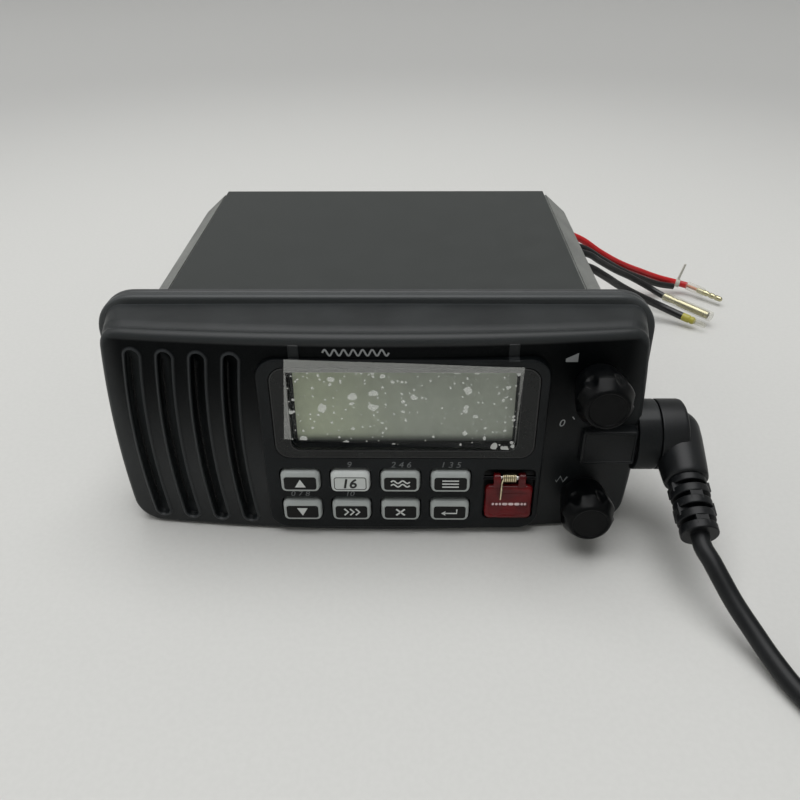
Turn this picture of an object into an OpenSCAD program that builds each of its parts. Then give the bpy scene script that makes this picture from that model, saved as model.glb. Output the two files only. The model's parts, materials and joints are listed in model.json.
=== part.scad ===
// Fixed-mount marine radio with a right-angle microphone plug, its cord and
// its fist microphone. Millimetres, +Z up, the front looks towards -Y.
// The origin is the middle of the casting's underside, on the table.

/* [Flange and front panel] */
// How far the flange stands out past the chassis, each side
flange_out = 9.3; // [8:0.1:12]
// Height of the flange
flange_h = 67; // [65:0.5:72]
// Corner radius of the flange
flange_r = 10.5; // [8:0.5:14]
// Thickness of the flange
flange_t = 2.9; // [2:0.1:3.4]
// Thickness of the rubber gasket behind the flange
gasket_t = 2.2; // [1.6:0.1:2.6]
// How far the flange stands out round the panel's body
flange_lip = 1.6; // [1:0.1:2.4]
// How far the panel stands forward of the chassis
panel_depth = 22.3; // [21.6:0.1:24]
// How much narrower the body is at the front, each side
panel_taper = 2.6; // [1.5:0.1:3.2]
// How much lower the body is at the front
panel_drop = 1.4; // [0.6:0.1:2]
// Arch of the front's top edge
top_arch = 1.2; // [0.4:0.1:1.6]
// Radius of the panel's curve, seen from above
crown_r = 520; // [450:10:900]
// Sideways bulge of the panel's two ends
side_bulge = 1.8; // [0.8:0.1:2.2]
// Wall of the front shell
shell_wall = 2.4; // [2:0.1:2.6]
// Number of speaker slots
slot_count = 4; // [3:1:4]
// Width of a speaker slot
slot_w = 3.6; // [2.8:0.1:4]
// Distance from one slot to the next
slot_pitch = 8.7; // [8.2:0.1:9]

/* [Display and keys] */
// Width of the raised pad round the display and keys
pad_w = 76.2; // [75:0.2:78]
// How far the pad stands forward of the panel's middle
pad_rise = 0.7; // [0.4:0.1:1.2]
// Width of the display lens
lens_w = 70; // [66:0.5:72]
// Height of the display lens
lens_h = 28.2; // [26:0.2:29]
// Thickness of the display lens
lens_t = 1.5; // [1:0.1:1.8]
// Width of the clear window in the lens
window_w = 58.8; // [56:0.2:60]
// Height of the clear window in the lens
window_h = 24.4; // [22:0.2:25]
// Width of a key
key_w = 11.3; // [10:0.1:12]
// Height of a key
key_h = 7.6; // [7:0.1:8]
// Distance from one key column to the next
key_pitch_x = 13.9; // [13.4:0.1:14.3]
// Distance from one key row to the next
key_pitch_z = 10.2; // [9.8:0.1:10.6]
// How far a key stands out of the pad
key_proud = 1.2; // [0.8:0.1:1.8]
// Travel of a key
key_travel = 0.8; // [0.4:0.1:1]
// Gap all round a moving key
key_gap = 0.3; // [0.15:0.05:0.4]
// Width of the lift-up cover over the distress key
guard_w = 13.2; // [12:0.2:14]
// Height of the lift-up cover below its hinge
guard_h = 11.4; // [10.6:0.1:12]

/* [Knobs and microphone plug] */
// Diameter of a knob at its widest
knob_d = 14.9; // [13:0.1:16]
// Length of a knob
knob_len = 13; // [11:0.2:15]
// Number of finger flutes round a knob
flute_count = 6; // [5:1:8]
// Diameter of a control's shaft
shaft_d = 6; // [4:0.5:6.4]
// Running gap between a shaft and its bush
shaft_gap = 0.04; // [0.02:0.01:0.08]
// How far below the flange's top the volume knob's axis lies
volume_drop = 17; // [15.5:0.5:19]
// Height of the squelch knob's axis
squelch_z = 13.5; // [13:0.5:15]
// Distance of both knobs from the middle
knob_x = 58; // [56:0.5:59]
// Diameter of the microphone plug's drum
drum_d = 20; // [18:0.5:21]
// Width of the microphone plug's drum
drum_w = 8.6; // [7:0.2:10]
// Angle of the plug's arm below level
arm_dip = 19; // [10:1:25]
// Diameter of the plug's arm
arm_d = 12.6; // [11:0.2:13]
// Length of the arm from the drum's axis
arm_len = 16.5; // [15:0.5:18]
// Length of the ribbed strain relief
relief_len = 16; // [14:0.5:18]
// Diameter of the microphone cord
mic_cord_d = 4.9; // [4:0.1:5.4]

/* [Chassis] */
// Length of the chassis behind the flange
chassis_len = 91; // [84:1:110]
// Width of the chassis
chassis_w = 133; // [124:1:136]
// How much lower the chassis' top is than the flange's
chassis_drop = 3; // [2.5:0.1:4]
// Width of each slanted edge
slant_w = 8.5; // [6:0.5:10]
// Height of each slanted edge
slant_h = 7.5; // [5:0.5:9]
// Wall of the casting
cast_wall = 2.5; // [2:0.1:3.5]
// Thickness of the top cover
cover_t = 1.2; // [0.8:0.1:1.6]
// Number of ribs under the chassis, on each side
rib_count = 4; // [2:1:5]
// Number of fins on the back
fin_count = 9; // [5:1:11]
// Depth of the fins on the back
fin_depth = 8; // [4:0.5:12]
// Outer diameter of the antenna socket's thread
antenna_d = 15.9; // [14:0.1:16]
// Diameter of the bracket insert's hole
insert_d = 5; // [4:0.5:5.5]

/* [Fist microphone] */
// Length of the microphone
mic_len = 94; // [84:1:100]
// Width of the microphone at its top
mic_top_w = 58; // [54:1:64]
// Width of the microphone at its cord end
mic_low_w = 44; // [40:1:48]
// Thickness of the microphone's front half
mic_front_t = 14; // [12:0.5:18]
// Thickness of the microphone's back half
mic_back_t = 13; // [11:0.5:16]
// Wall of the microphone's case
mic_wall = 2.2; // [1.6:0.1:3]

/* [Hidden] */

// Smallest overlap that joins two shapes of one piece
eps = 0.01;
// How far a cutting shape runs past the face it opens
past = 1;

// Planes along Y
seam_y = -chassis_len / 2 + 0.5;      // the chassis meets the panel here
back_y = seam_y + chassis_len;        // outer face of the chassis' back wall
apex_y = seam_y - panel_depth;        // foremost line of the panel's curve
pad_y = apex_y - pad_rise;            // front of the raised pad
pocket_y = apex_y + shell_wall + 0.4; // flat floor behind the pad, inside the shell
flange_y = seam_y - gasket_t - flange_t;

// The front panel's outline, rear and front
flange_w = chassis_w + 2 * flange_out;
chassis_h = flange_h - chassis_drop;
body_rear_w = flange_w - 2 * flange_lip;
body_front_w = body_rear_w - 2 * panel_taper;
body_rear_top = flange_h - 2;
body_front_top = body_rear_top - panel_drop;
body_low = 0.5;
body_top_r = 5;
body_low_r = 7.5;
crown_y = apex_y + crown_r;

// The rim that passes through the gasket
rim_w = chassis_w + 2;
rim_low = 1.2;
rim_top = chassis_h + 0.8;
rim_wall = 2;
rim_r = flange_r - 6;

// Speaker, behind the slots
speaker_x = -50;
speaker_z = 32.4;
speaker_d = 40;
speaker_y = seam_y - 13;
baffle_t = 1.2;
slot_r = 190;
slot_mid_z = 30.5;
slot_z0 = 3.4;
slot_z1 = 58.2;
slot_x0 = -66.2;
slot_depth = 1.4;
cloth_w = slot_count * slot_pitch + 2;
strip_x = [-20.1, 35.4];
strip_w = 2.6;
strip_top = 62;
strip_rise = 0.35;

// Display and keypad places
pad_x = 7.6;
pad_top = 57.8;
pad_low = 2;
pad_r = 5.5;
lens_x = 8;
lens_z = 41.2;
lens_r = 4;
lens_gap = 0.15;
window_r = 2.5;
window_z = 41.8;
film_t = 0.12;
lcd_w = 63;
lcd_h = 26;
lcd_z = 42;
key_r = 1.7;
key_x0 = -21;
key_z0 = 19.7;
key_flange = 0.7;
key_flange_t = 0.9;
key_front_y = pad_y - key_proud;
key_back_y = pocket_y + key_flange_t + 0.05;
mat_y = key_back_y + key_travel + 0.25;
mat_t = 1.2;
mat_z = key_z0 - key_pitch_z / 2;
mat_h = key_pitch_z + key_h + 2 * key_flange + 3.4;
board_y = mat_y + mat_t;
board_t = 1.6;
lcd_t = board_y - pocket_y;
board_posts = [[-25.8, 53], [41.4, 53], [-24, 27.45], [41, 27.45]];
board_post_d = 2.8;

// Distress cover and its recess
guard_x = 37.1;
guard_low = 6.4;
guard_axis_z = guard_low + guard_h + 2.2;
guard_axis_y = pad_y + 0.7;
guard_front_y = pad_y - 0.9;
guard_t = 1.8;
guard_gap = 0.5;
guard_lug_w = 2.4;
guard_lug_x = 4.1;
guard_lug_r = 1.5;
pin_d = 1.4;
pin_half = 8.1;
spring_wire = 0.5;
spring_turns = 7;
recess_floor_y = pad_y + 2.6;
distress_key_w = 7;
distress_key_h = 5.4;
distress_key_z = guard_low + guard_h / 2 + 0.3;

// Knobs and controls
volume_z = flange_h - volume_drop;
knob_gap = 1.2;
knob_face_d = 10;
knob_nose = 3.6;
knob_draft = 2.6;
flute_d = 4.6;
bush_d = shaft_d + 2 * shaft_gap + 2;
control_w = 9;
control_len = 7;
shaft_in = 5;
function crown_at(x) = crown_y - sqrt(crown_r * crown_r - x * x);
knob_back_y = crown_at(knob_x) - knob_gap - 1;
knob_front_y = knob_back_y - knob_len;
control_y = crown_at(knob_x) + shell_wall + 1;

// Microphone plug
plug_z = 28;
plug_y = seam_y - gasket_t - drum_d / 2 - 0.1;
socket_d = 16;
socket_x0 = 60;
boss_x = 77.8;
arm_x = 84;
relief_d = 10.4;
arm_dir = [0, -cos(arm_dip), -sin(arm_dip)];
relief_start = [arm_x, plug_y, plug_z] + arm_len * arm_dir;
relief_end = relief_start + relief_len * arm_dir;

// The block that covers the socket between the knobs
block_x0 = 56;
block_x1 = 71.4;
block_z0 = 23.4;
block_z1 = 34.5;
block_y = seam_y - 21;

// Chassis places
floor_z = 4;
floor_t = 2.5;
front_plate_t = 3;
underside_pad_w = 44;
underside_pad_len = 36;
rib_w = 3;
rib_pitch = 9.5;
fin_t = 2;
fin_pitch = 4.6;
fin_x = 3;
fin_z0 = 9;
fin_z1 = 52;
antenna_x = -40;
antenna_z = 34;
grommet_x = 44;
grommet_z = 31;
grommet_d = 13;
grommet_out = 3;
boss_d = 12;
boss_y = 0;
boss_z = 32;
insert_len = 9;
insert_wall = 1.2;
post_x = 47;
post_d = 6;
post_z = [9.3, chassis_h - 7];
screw_d = 2.6;
screw_head_d = 5;
screw_head_h = 1.9;
cover_lip_h = 10;
cover_screw_x = 42;

// Fist microphone, on its back beside the coil
mic_x = 215;
mic_y0 = -96;
// Half width, place along the length and radius of each outline circle
mic_circles = [
    [mic_low_w / 2, 9, 9], [mic_top_w / 2, 56, 20], [mic_top_w / 2 - 3, mic_len - 12, 12]
];
mic_screw_y = [16, mic_len - 12];
mic_post_d = 5.6;
mic_slot_n = 7;
mic_soft = 4;
gland_len = 10;
gland_d = 10;
gland_z = mic_back_t + 1;
gland_end = [mic_x, mic_y0 - gland_len, gland_z];
talk_y0 = mic_y0 + 41;
talk_len = 32;
talk_h = 9;
talk_out = 2.2;
talk_gap = 0.35;
talk_travel = 1.5;
hanger_d = 15;
hanger_y = 58;
hanger_recess = 1;

// Routes of the cords, points chosen by hand
cord_sides = 8;
lead_d = 3;
thin_lead_d = 2.8;
aux_lead_d = 3.4;
red_route = [
    [46, 49, 33], [46.4, 56, 33.6], [49, 66, 35], [57, 78, 36], [70, 86, 34.6], [82, 87, 31],
    [92, 87.6, 25.4], [102, 90, 19], [113, 94, 12.4], [123, 97, 8], [130.6, 97.4, 5.6], [136, 96, 4.4]
];
red_end = [148, 83, 3];
plain_route = [
    [42, 49, 33], [42, 57, 32.6], [45, 66, 32.4], [53, 75, 33], [66, 80.4, 32.4], [82, 79.6, 29],
    [92, 82, 23.4], [102, 86.4, 16.4], [113, 91.2, 9.8], [122, 93.2, 5.8], [129.4, 93.6, 3]
];
black_route = [
    [46, 49, 28.6], [47, 56, 28.6], [53, 65, 29.4], [63, 71.4, 30.6], [74, 73.4, 30], [83, 73, 28.4],
    [90, 76, 23], [98, 80, 17], [107, 83, 11.4], [114.4, 83, 7.6], [119, 80, 5.6], [123, 76.4, 5]
];
black_end = [137, 63.2, 4.4];
aux_route = [
    [42, 49, 28.6], [42.6, 56, 27.4], [48, 63, 25.8], [59, 67, 26.2], [72, 66, 27.4], [84, 64, 26.4],
    [90, 65, 22], [97, 68, 17], [105, 70, 12], [113, 70.4, 8], [119.6, 68, 5.6], [125, 64.4, 4.2]
];
aux_end = [133, 57.6, 3];

// The coil of cord that is put away
coil_layers = 4;
coil_layer_turns = 2;
coil_center = [150, -120.5];
coil_out_r = 32.5;
coil_step = 5.5;
coil_low_z = 2.45;
coil_rings = 24;
coil_sides = 6;
coil_climb = 0.5;

// ---------- outlines ----------

// Points of a round corner
function corner_arc(x, z, r, a0, a1, n = 8) =
    [for (i = [0 : n]) [x + r * cos(a0 + (a1 - a0) * i / n), z + r * sin(a0 + (a1 - a0) * i / n)]];

// Outline with bulged ends, arcs tangent to the corners, and an arched top
function barrel(w, low, top, r_low, r_top, bulge, arch) =
    let (
        end_top = top - arch,
        zc = (low + end_top) / 2,
        h = end_top - low,
        r = (h * h / 4 + bulge * bulge) / (2 * bulge),
        xc = w / 2 - r,
        xl = xc + sqrt(pow(r - r_low, 2) - pow(low + r_low - zc, 2)),
        xt = xc + sqrt(pow(r - r_top, 2) - pow(end_top - r_top - zc, 2)),
        al = atan2(low + r_low - zc, xl - xc),
        at = atan2(end_top - r_top - zc, xt - xc),
        right = concat(
            corner_arc(xl, low + r_low, r_low, -90, al),
            corner_arc(xc, zc, r, al, at, 10),
            corner_arc(xt, end_top - r_top, r_top, at, 90),
            [for (i = [1 : 5]) let (x = xt * (1 - i / 5)) [x, top - arch * pow(x / xt, 2)]]
        ),
        n = len(right)
    )
    concat(right, [for (i = [1 : n - 1]) [-right[n - 1 - i][0], right[n - 1 - i][1]]]);

module rounded(w, h, r) {
    square([w - 2 * r, h], center = true);
    square([w, h - 2 * r], center = true);
    for (x = [-1, 1], z = [-1, 1])
        translate([x * (w / 2 - r), z * (h / 2 - r)]) circle(r, $fn = 40);
}

// Extrudes a flat XZ outline from y0 to y1
module slab(y0, y1) {
    translate([0, max(y0, y1), 0]) rotate([90, 0, 0]) linear_extrude(abs(y1 - y0)) children();
}

module rod_y(d, y0, y1, fn = 48) {
    translate([0, max(y0, y1), 0]) rotate([90, 0, 0]) cylinder(d = d, h = abs(y1 - y0), $fn = fn);
}

module rod_x(d, x0, x1, fn = 64) {
    translate([min(x0, x1), 0, 0]) rotate([0, 90, 0]) cylinder(d = d, h = abs(x1 - x0), $fn = fn);
}

// ---------- swept tubes ----------

function unit(v) = v / norm(v);
function tangents(p) = [
    for (i = [0 : len(p) - 1]) unit(p[min(i + 1, len(p) - 1)] - p[max(i - 1, 0)])
];
function carried(t, i, last) =
    i == len(t) ? [] : let (n = unit(last - (last * t[i]) * t[i])) concat([n], carried(t, i + 1, n));
function ring_at(p, t, n, r, sides) = [
    for (k = [0 : sides - 1]) p + r * (cos(360 * k / sides) * n + sin(360 * k / sides) * cross(t, n))
];

module tube(points, d, sides) {
    t = tangents(points);
    n = carried(t, 0, abs(t[0][2]) > 0.9 ? [1, 0, 0] : [0, 0, 1]);
    last = len(points) - 1;
    verts = [for (i = [0 : last]) each ring_at(points[i], t[i], n[i], d / 2, sides)];
    walls = [
        for (i = [0 : last - 1], k = [0 : sides - 1])
        let (a = i * sides + k, b = i * sides + (k + 1) % sides)
        each [[a, b, b + sides], [a, b + sides, a + sides]]
    ];
    caps = [
        [for (k = [0 : sides - 1]) sides - 1 - k],
        [for (k = [0 : sides - 1]) last * sides + k]
    ];
    polyhedron(verts, concat([for (w = walls) [w[0], w[2], w[1]]], [for (c = caps) [for (k = [len(c) - 1 : -1 : 0]) c[k]]]));
}

// A straight round piece from one point to another
module rod_between(a, b, d0, d1, fn = 32) {
    v = b - a;
    translate(a) rotate([0, acos(v[2] / norm(v)), atan2(v[1], v[0])])
        cylinder(d1 = d0, d2 = d1, h = norm(v), $fn = fn);
}

// Turn u of the coil: in and out at a steady rate, a layer up at each reversal
coil_turns = coil_layers * coil_layer_turns;
function coil_fold(u) = let (m = u % (2 * coil_layer_turns))
    m <= coil_layer_turns ? m : 2 * coil_layer_turns - m;
function coil_level(u) = let (
        k = round(u / coil_layer_turns),
        s = (u - k * coil_layer_turns) / coil_climb + 0.5
    )
    k == 0 || k == coil_layers ? (k == 0 ? 0 : coil_layers - 1) : k - 1 + min(1, max(0, s));
function coil_point(u) = let (r = coil_out_r - coil_step * coil_fold(u), a = 360 * u - 90) [
    coil_center[0] + r * cos(a),
    coil_center[1] + r * sin(a),
    coil_low_z + coil_step * coil_level(u)
];
coil_in = coil_point(0) - [mic_cord_d, 0, 0];
coil_out = coil_point(coil_turns) + [mic_cord_d, 0, 0];
coil_points = concat(
    [coil_in],
    [for (i = [0 : coil_turns * coil_rings]) coil_point(i / coil_rings)],
    [coil_out]
);
coil_gap = min([
    for (i = [0 : len(coil_points) - 1], j = [i + floor(coil_rings / 2) : 1 : len(coil_points) - 1])
    norm(coil_points[i] - coil_points[j])
]) - mic_cord_d;
echo(coil_least_gap = coil_gap);

// From the plug to the coil, and from the coil to the microphone
mic_route = [
    relief_end, relief_end + 3 * arm_dir, [84.6, -94.6, 14.9], [86, -98.6, 12.6], [88.2, -103.4, 9.6], [91.4, -109.6, 6.6],
    [95, -117, 4], [98.6, -125, 2.6], [103.5, -134, 2.45], [112, -143.5, 2.45], [124, -150, 2.45],
    [136, -152.6, 2.45], coil_in
];
mic_end_route = [
    coil_out, [164, -152.6, 18.2], [178, -150.6, 15.6],
    [191, -145.6, 14.2], [202, -137, 13.9], [209.5, -126, 14], [213.4, -117, 14],
    [215, -111, 14], gland_end
];

// ---------- front panel ----------

module body_solid(inset, y_rear, y_front) {
    rear = barrel(body_rear_w - 2 * inset, body_low + inset, body_rear_top - inset,
        body_low_r, body_top_r, side_bulge, 0.2);
    front = barrel(body_front_w - 2 * inset, body_low + inset, body_front_top - inset,
        body_low_r, body_top_r, side_bulge, top_arch);
    intersection() {
        hull() {
            slab(y_rear - eps, y_rear) polygon(rear);
            slab(y_front, y_front + eps) polygon(front);
        }
        translate([0, crown_y, -past])
            cylinder(r = crown_r - inset, h = flange_h + 2 * past, $fn = 720);
    }
}

// Left edge of a slot at height z
function slot_edge(x, z) = x + slot_r - sqrt(slot_r * slot_r - pow(z - slot_mid_z, 2));

// Outline of one curved speaker slot with round ends
function slot_outline(x, w) = let (n = 14, low = slot_z0 + w / 2, high = slot_z1 - w / 2) concat(
    [for (i = [0 : n]) let (z = low + (high - low) * i / n) [slot_edge(x, z) + w, z]],
    [for (a = [22.5 : 22.5 : 157.5]) [slot_edge(x, high) + w / 2 * (1 + cos(a)), high + w / 2 * sin(a)]],
    [for (i = [0 : n]) let (z = high - (high - low) * i / n) [slot_edge(x, z), z]],
    [for (a = [202.5 : 22.5 : 337.5]) [slot_edge(x, low) + w / 2 * (1 + cos(a)), low + w / 2 * sin(a)]]
);

module slot_cut(index, width, y0, y1) {
    slab(y0, y1) polygon(slot_outline(slot_x0 + index * slot_pitch + (slot_w - width) / 2, width));
}

module key_place(column, row) {
    translate([key_x0 + column * key_pitch_x, 0, key_z0 - row * key_pitch_z]) children();
}

module post_places() {
    for (x = [-post_x, post_x], i = [0, 1]) translate([x, 0, post_z[i]]) children();
}

module shell_outside() {
    body_solid(0, flange_y + eps, apex_y);
    slab(seam_y - gasket_t, flange_y) translate([0, flange_h / 2]) rounded(flange_w, flange_h, flange_r);
    slab(seam_y, flange_y) translate([0, (rim_low + rim_top) / 2])
        rounded(rim_w, rim_top - rim_low, rim_r);
    slab(pad_y, apex_y + 3) translate([pad_x, (pad_top + pad_low) / 2]) rounded(pad_w, pad_top - pad_low, pad_r);
    slab(block_y, seam_y - 14) translate([(block_x0 + block_x1) / 2, (block_z0 + block_z1) / 2])
        rounded(block_x1 - block_x0, block_z1 - block_z0, 1);
    for (x = strip_x) translate([x, 0, 0]) slab(crown_at(x) - strip_rise, apex_y + 2)
        translate([0, (pad_top + strip_top) / 2 - 1]) square([strip_w, strip_top - pad_top + 2], center = true);
    translate([0, plug_y, plug_z]) rod_x(drum_d, socket_x0 + 8, boss_x);
}

// Plate behind the slots that carries the speaker
module speaker_baffle() {
    intersection() {
        body_solid(past, flange_y, apex_y);
        slab(speaker_y - baffle_t, speaker_y) difference() {
            translate([speaker_x - 3, flange_h / 2]) square([50, flange_h], center = true);
            translate([speaker_x, speaker_z]) circle(d = speaker_d - 4, $fn = 80);
        }
    }
}

module shell_inside() {
    body_solid(shell_wall, flange_y - past, apex_y + 0.1);
    slab(seam_y + past, flange_y - 2 * past) translate([0, (rim_low + rim_top) / 2])
        rounded(rim_w - 2 * rim_wall, rim_top - rim_low - 2 * rim_wall, rim_r - rim_wall);
    slab(pocket_y, apex_y + 6) translate([pad_x, (pad_top + pad_low) / 2])
        rounded(pad_w - 2 * shell_wall, pad_top - pad_low - 2 * shell_wall, pad_r - shell_wall);
}

module front_shell() {
    color([0.13, 0.14, 0.14]) difference() {
        union() {
            difference() {
                shell_outside();
                shell_inside();
            }
            // Screw posts, each webbed to the wall above or below it
            post_places() rod_y(post_d, seam_y, seam_y - 13);
            for (x = [-post_x, post_x]) {
                translate([x - 1, seam_y - 13, body_low + 1]) cube([2, 12, post_z[0] - body_low - 1]);
                translate([x - 1, seam_y - 13, post_z[1]]) cube([2, 12, body_rear_top - 2 - post_z[1]]);
            }
            speaker_baffle();
            // Posts that carry the front board
            for (p = board_posts) translate([p[0], 0, p[1]]) rod_y(board_post_d, pocket_y - eps, board_y);
            // Housing of the microphone socket
            intersection() {
                translate([0, plug_y, plug_z]) rod_x(drum_d - 0.4, socket_x0, body_rear_w / 2 - 1);
                slab(seam_y - 1, seam_y - 21) translate([socket_x0 - past, 0]) square([18, 60]);
            }
        }
        post_places() rod_y(screw_d, seam_y + past, seam_y - 10);
        for (i = [0 : slot_count - 1]) {
            slot_cut(i, slot_w, pad_y - past, crown_at(slot_x0 + i * slot_pitch) + slot_depth);
            slot_cut(i, slot_w / 2, pad_y - past, speaker_y - baffle_t - eps);
        }
        // Lens seat and window
        slab(pad_y - past, pad_y + lens_t) translate([lens_x, lens_z])
            rounded(lens_w + 2 * lens_gap, lens_h + 2 * lens_gap, lens_r + lens_gap);
        slab(pad_y - past, apex_y + 8) translate([lens_x, window_z])
            rounded(window_w, window_h, window_r);
        // Key holes
        for (column = [0 : 3], row = [0, 1]) key_place(column, row) slab(pad_y - past, apex_y + 8)
            rounded(key_w + 2 * key_gap, key_h + 2 * key_gap, key_r + key_gap);
        // Distress recess and its key hole
        slab(pad_y - past, recess_floor_y) translate([guard_x, (guard_low - guard_gap + guard_axis_z + 3.2) / 2])
            rounded(guard_w + 2 * guard_gap, guard_axis_z + 3.2 - guard_low + guard_gap, 1.6);
        translate([guard_x, 0, distress_key_z]) slab(pad_y - past, apex_y + 8)
            rounded(distress_key_w + 2 * key_gap, distress_key_h + 2 * key_gap, 1 + key_gap);
        // Ends of the distress cover's pin
        translate([guard_x, guard_axis_y, guard_axis_z]) rod_x(pin_d, -pin_half, pin_half, 40);
        // Control bushes
        for (z = [volume_z, squelch_z]) translate([knob_x, 0, z]) rod_y(bush_d, apex_y - past, seam_y - 12);
        // Microphone socket
        translate([0, plug_y, plug_z]) rod_x(socket_d, socket_x0 - past, boss_x + past);
    }
}

module front_gasket() {
    color([0.1, 0.1, 0.11]) slab(seam_y, seam_y - gasket_t) difference() {
        translate([0, flange_h / 2]) rounded(flange_w, flange_h, flange_r);
        translate([0, (rim_low + rim_top) / 2]) rounded(rim_w, rim_top - rim_low, rim_r);
    }
}

module grille_cloth() {
    color([0.05, 0.05, 0.05]) intersection() {
        body_solid(shell_wall + 0.2, flange_y - past, apex_y + 0.1);
        slab(apex_y, seam_y) translate([speaker_x, (slot_z0 + slot_z1) / 2])
            square([cloth_w, slot_z1 - slot_z0 + 1], center = true);
        difference() {
            translate([0, crown_y, 0]) cylinder(r = crown_r - shell_wall - 0.1, h = flange_h, $fn = 720);
            translate([0, crown_y, -past]) cylinder(r = crown_r - shell_wall - 0.5, h = flange_h + 2 * past, $fn = 720);
        }
    }
}

module speaker_frame() {
    color([0.3, 0.31, 0.32]) translate([speaker_x, 0, speaker_z]) difference() {
        union() {
            rod_y(speaker_d, speaker_y, speaker_y + 1.2, 80);
            translate([0, speaker_y + 1.2, 0]) rotate([-90, 0, 0])
                cylinder(d1 = speaker_d - 4, d2 = 24, h = 4.5, $fn = 80);
            rod_y(22, speaker_y + 5.6, speaker_y + 10.5, 80);
        }
        rod_y(speaker_d - 5, speaker_y - past, speaker_y + 1.3, 80);
        translate([0, speaker_y + 1.2, 0]) rotate([-90, 0, 0])
            cylinder(d1 = speaker_d - 5, d2 = 19, h = 5.5, $fn = 80);
    }
}

module speaker_cone() {
    color([0.09, 0.09, 0.1]) translate([speaker_x, speaker_y + 0.4, speaker_z]) rotate([-90, 0, 0])
        rotate_extrude($fn = 80) polygon([
            [0, 3.6], [4, 3.2], [7.4, 3.6], [15.8, 0.4], [16.6, 0], [17.1, 0.3],
            [16.2, 0.9], [7.8, 4.2], [4, 3.9], [0, 4.3]
        ]);
}

// ---------- display ----------

module display_lens() {
    color([0.16, 0.17, 0.17, 0.6]) translate([lens_x, 0, lens_z]) slab(pad_y + eps, pad_y + lens_t)
        rounded(lens_w, lens_h, lens_r);
}

film_angle = 1.2;
film_w = 61.6;
film_h = 25.4;
film_x = 7.6;
film_z = 43.2;
module lens_film() {
    color([0.8, 0.82, 0.8, 0.35]) translate([film_x, 0, film_z]) rotate([0, film_angle, 0])
        slab(pad_y, pad_y - film_t) square([film_w, film_h], center = true);
}

module lcd_panel() {
    color([0.52, 0.54, 0.44]) translate([lens_x, 0, lcd_z]) slab(pocket_y, pocket_y + lcd_t)
        rounded(lcd_w, lcd_h, 0.8);
}

// ---------- keypad ----------

module key_cap(column, row) {
    key_place(column, row) {
        slab(key_front_y, pocket_y + 0.05 + eps) rounded(key_w, key_h, key_r);
        slab(pocket_y + 0.05, key_back_y) rounded(key_w + 2 * key_flange, key_h + 2 * key_flange, key_r);
    }
}

module light_key(column, row) {
    color([0.62, 0.64, 0.63]) key_cap(column, row);
}

module key_up() { light_key(0, 0); }
module key_down() { light_key(0, 1); }
module key_channel() { light_key(2, 0); }
module key_menu() { light_key(3, 0); }
module key_scan() { light_key(1, 1); }
module key_clear() { light_key(2, 1); }
module key_enter() { light_key(3, 1); }
module key_sixteen() {
    color([0.8, 0.82, 0.81]) key_cap(1, 0);
}

module keypad_mat() {
    color([0.75, 0.75, 0.72]) difference() {
        slab(mat_y, mat_y + mat_t) translate([pad_x, mat_z]) rounded(pad_w - 8, mat_h, 2);
        for (x = [pad_x - pad_w / 2 + 7, pad_x + pad_w / 2 - 7]) translate([x, 0, mat_z])
            rod_y(1.6, mat_y - past, mat_y + mat_t + past);
    }
}

module front_board() {
    color([0.1, 0.3, 0.16]) slab(board_y, board_y + board_t)
        translate([pad_x, (pad_top + pad_low) / 2]) rounded(pad_w - 6, pad_top - pad_low - 6, 2);
}

// ---------- distress key ----------

module distress_cover() {
    color([0.62, 0.06, 0.08, 0.8]) translate([guard_x, 0, 0]) difference() {
        union() {
            slab(guard_front_y, guard_front_y + guard_t) translate([0, guard_low + guard_h / 2])
                rounded(guard_w, guard_h, 1.4);
            for (s = [-1, 1]) translate([s * guard_lug_x, 0, 0]) {
                translate([-guard_lug_w / 2, guard_axis_y - guard_lug_r, guard_low + guard_h - eps])
                    cube([guard_lug_w, guard_lug_r + 0.2, guard_axis_z - guard_low - guard_h]);
                translate([0, guard_axis_y, guard_axis_z])
                    rod_x(2 * guard_lug_r, -guard_lug_w / 2, guard_lug_w / 2, 40);
            }
        }
        translate([0, guard_front_y + guard_t, distress_key_z]) slab(-0.6, past)
            rounded(distress_key_w + 1.4, distress_key_h + 1.4, 1);
        translate([0, guard_axis_y, guard_axis_z])
            rod_x(pin_d + 2 * shaft_gap, -guard_w, guard_w, 40);
    }
}

module distress_pin() {
    color([0.8, 0.8, 0.78]) translate([guard_x, guard_axis_y, guard_axis_z])
        rod_x(pin_d, -pin_half, pin_half, 40);
}

// The spring's turns round the pin, with one leg down on the cover
spring_mid_r = pin_d / 2 + spring_wire / 2 + 0.25;
spring_pitch = spring_wire + 0.12;
spring_rings = 8;
function spring_point(i) = let (a = 360 * i / spring_rings) [
    guard_x - spring_turns * spring_pitch / 2 + spring_pitch * i / spring_rings,
    guard_axis_y - spring_mid_r * cos(a),
    guard_axis_z + spring_mid_r * sin(a)
];
spring_leg_x = guard_x - spring_turns * spring_pitch / 2;
spring_leg_y = guard_front_y - spring_wire / 2 - 0.1;
spring_leg = [
    [spring_leg_x - 0.4, spring_leg_y, guard_axis_z - 6.2],
    [spring_leg_x - 0.3, spring_leg_y, guard_axis_z - 2.4],
    [spring_leg_x - 0.1, guard_axis_y - spring_mid_r - 0.1, guard_axis_z - 0.8]
];
module distress_spring() {
    points = concat(spring_leg, [for (i = [0 : spring_turns * spring_rings]) spring_point(i)]);
    color([0.85, 0.82, 0.72]) tube(points, spring_wire, 6);
}

module distress_key() {
    color([0.72, 0.1, 0.1]) translate([guard_x, 0, distress_key_z]) {
        slab(recess_floor_y - 0.8, pocket_y + 0.05 + eps) rounded(distress_key_w, distress_key_h, 1);
        slab(pocket_y + 0.05, key_back_y)
            rounded(distress_key_w + 2 * key_flange, distress_key_h + 2 * key_flange, 1);
    }
}

// ---------- controls ----------

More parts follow.
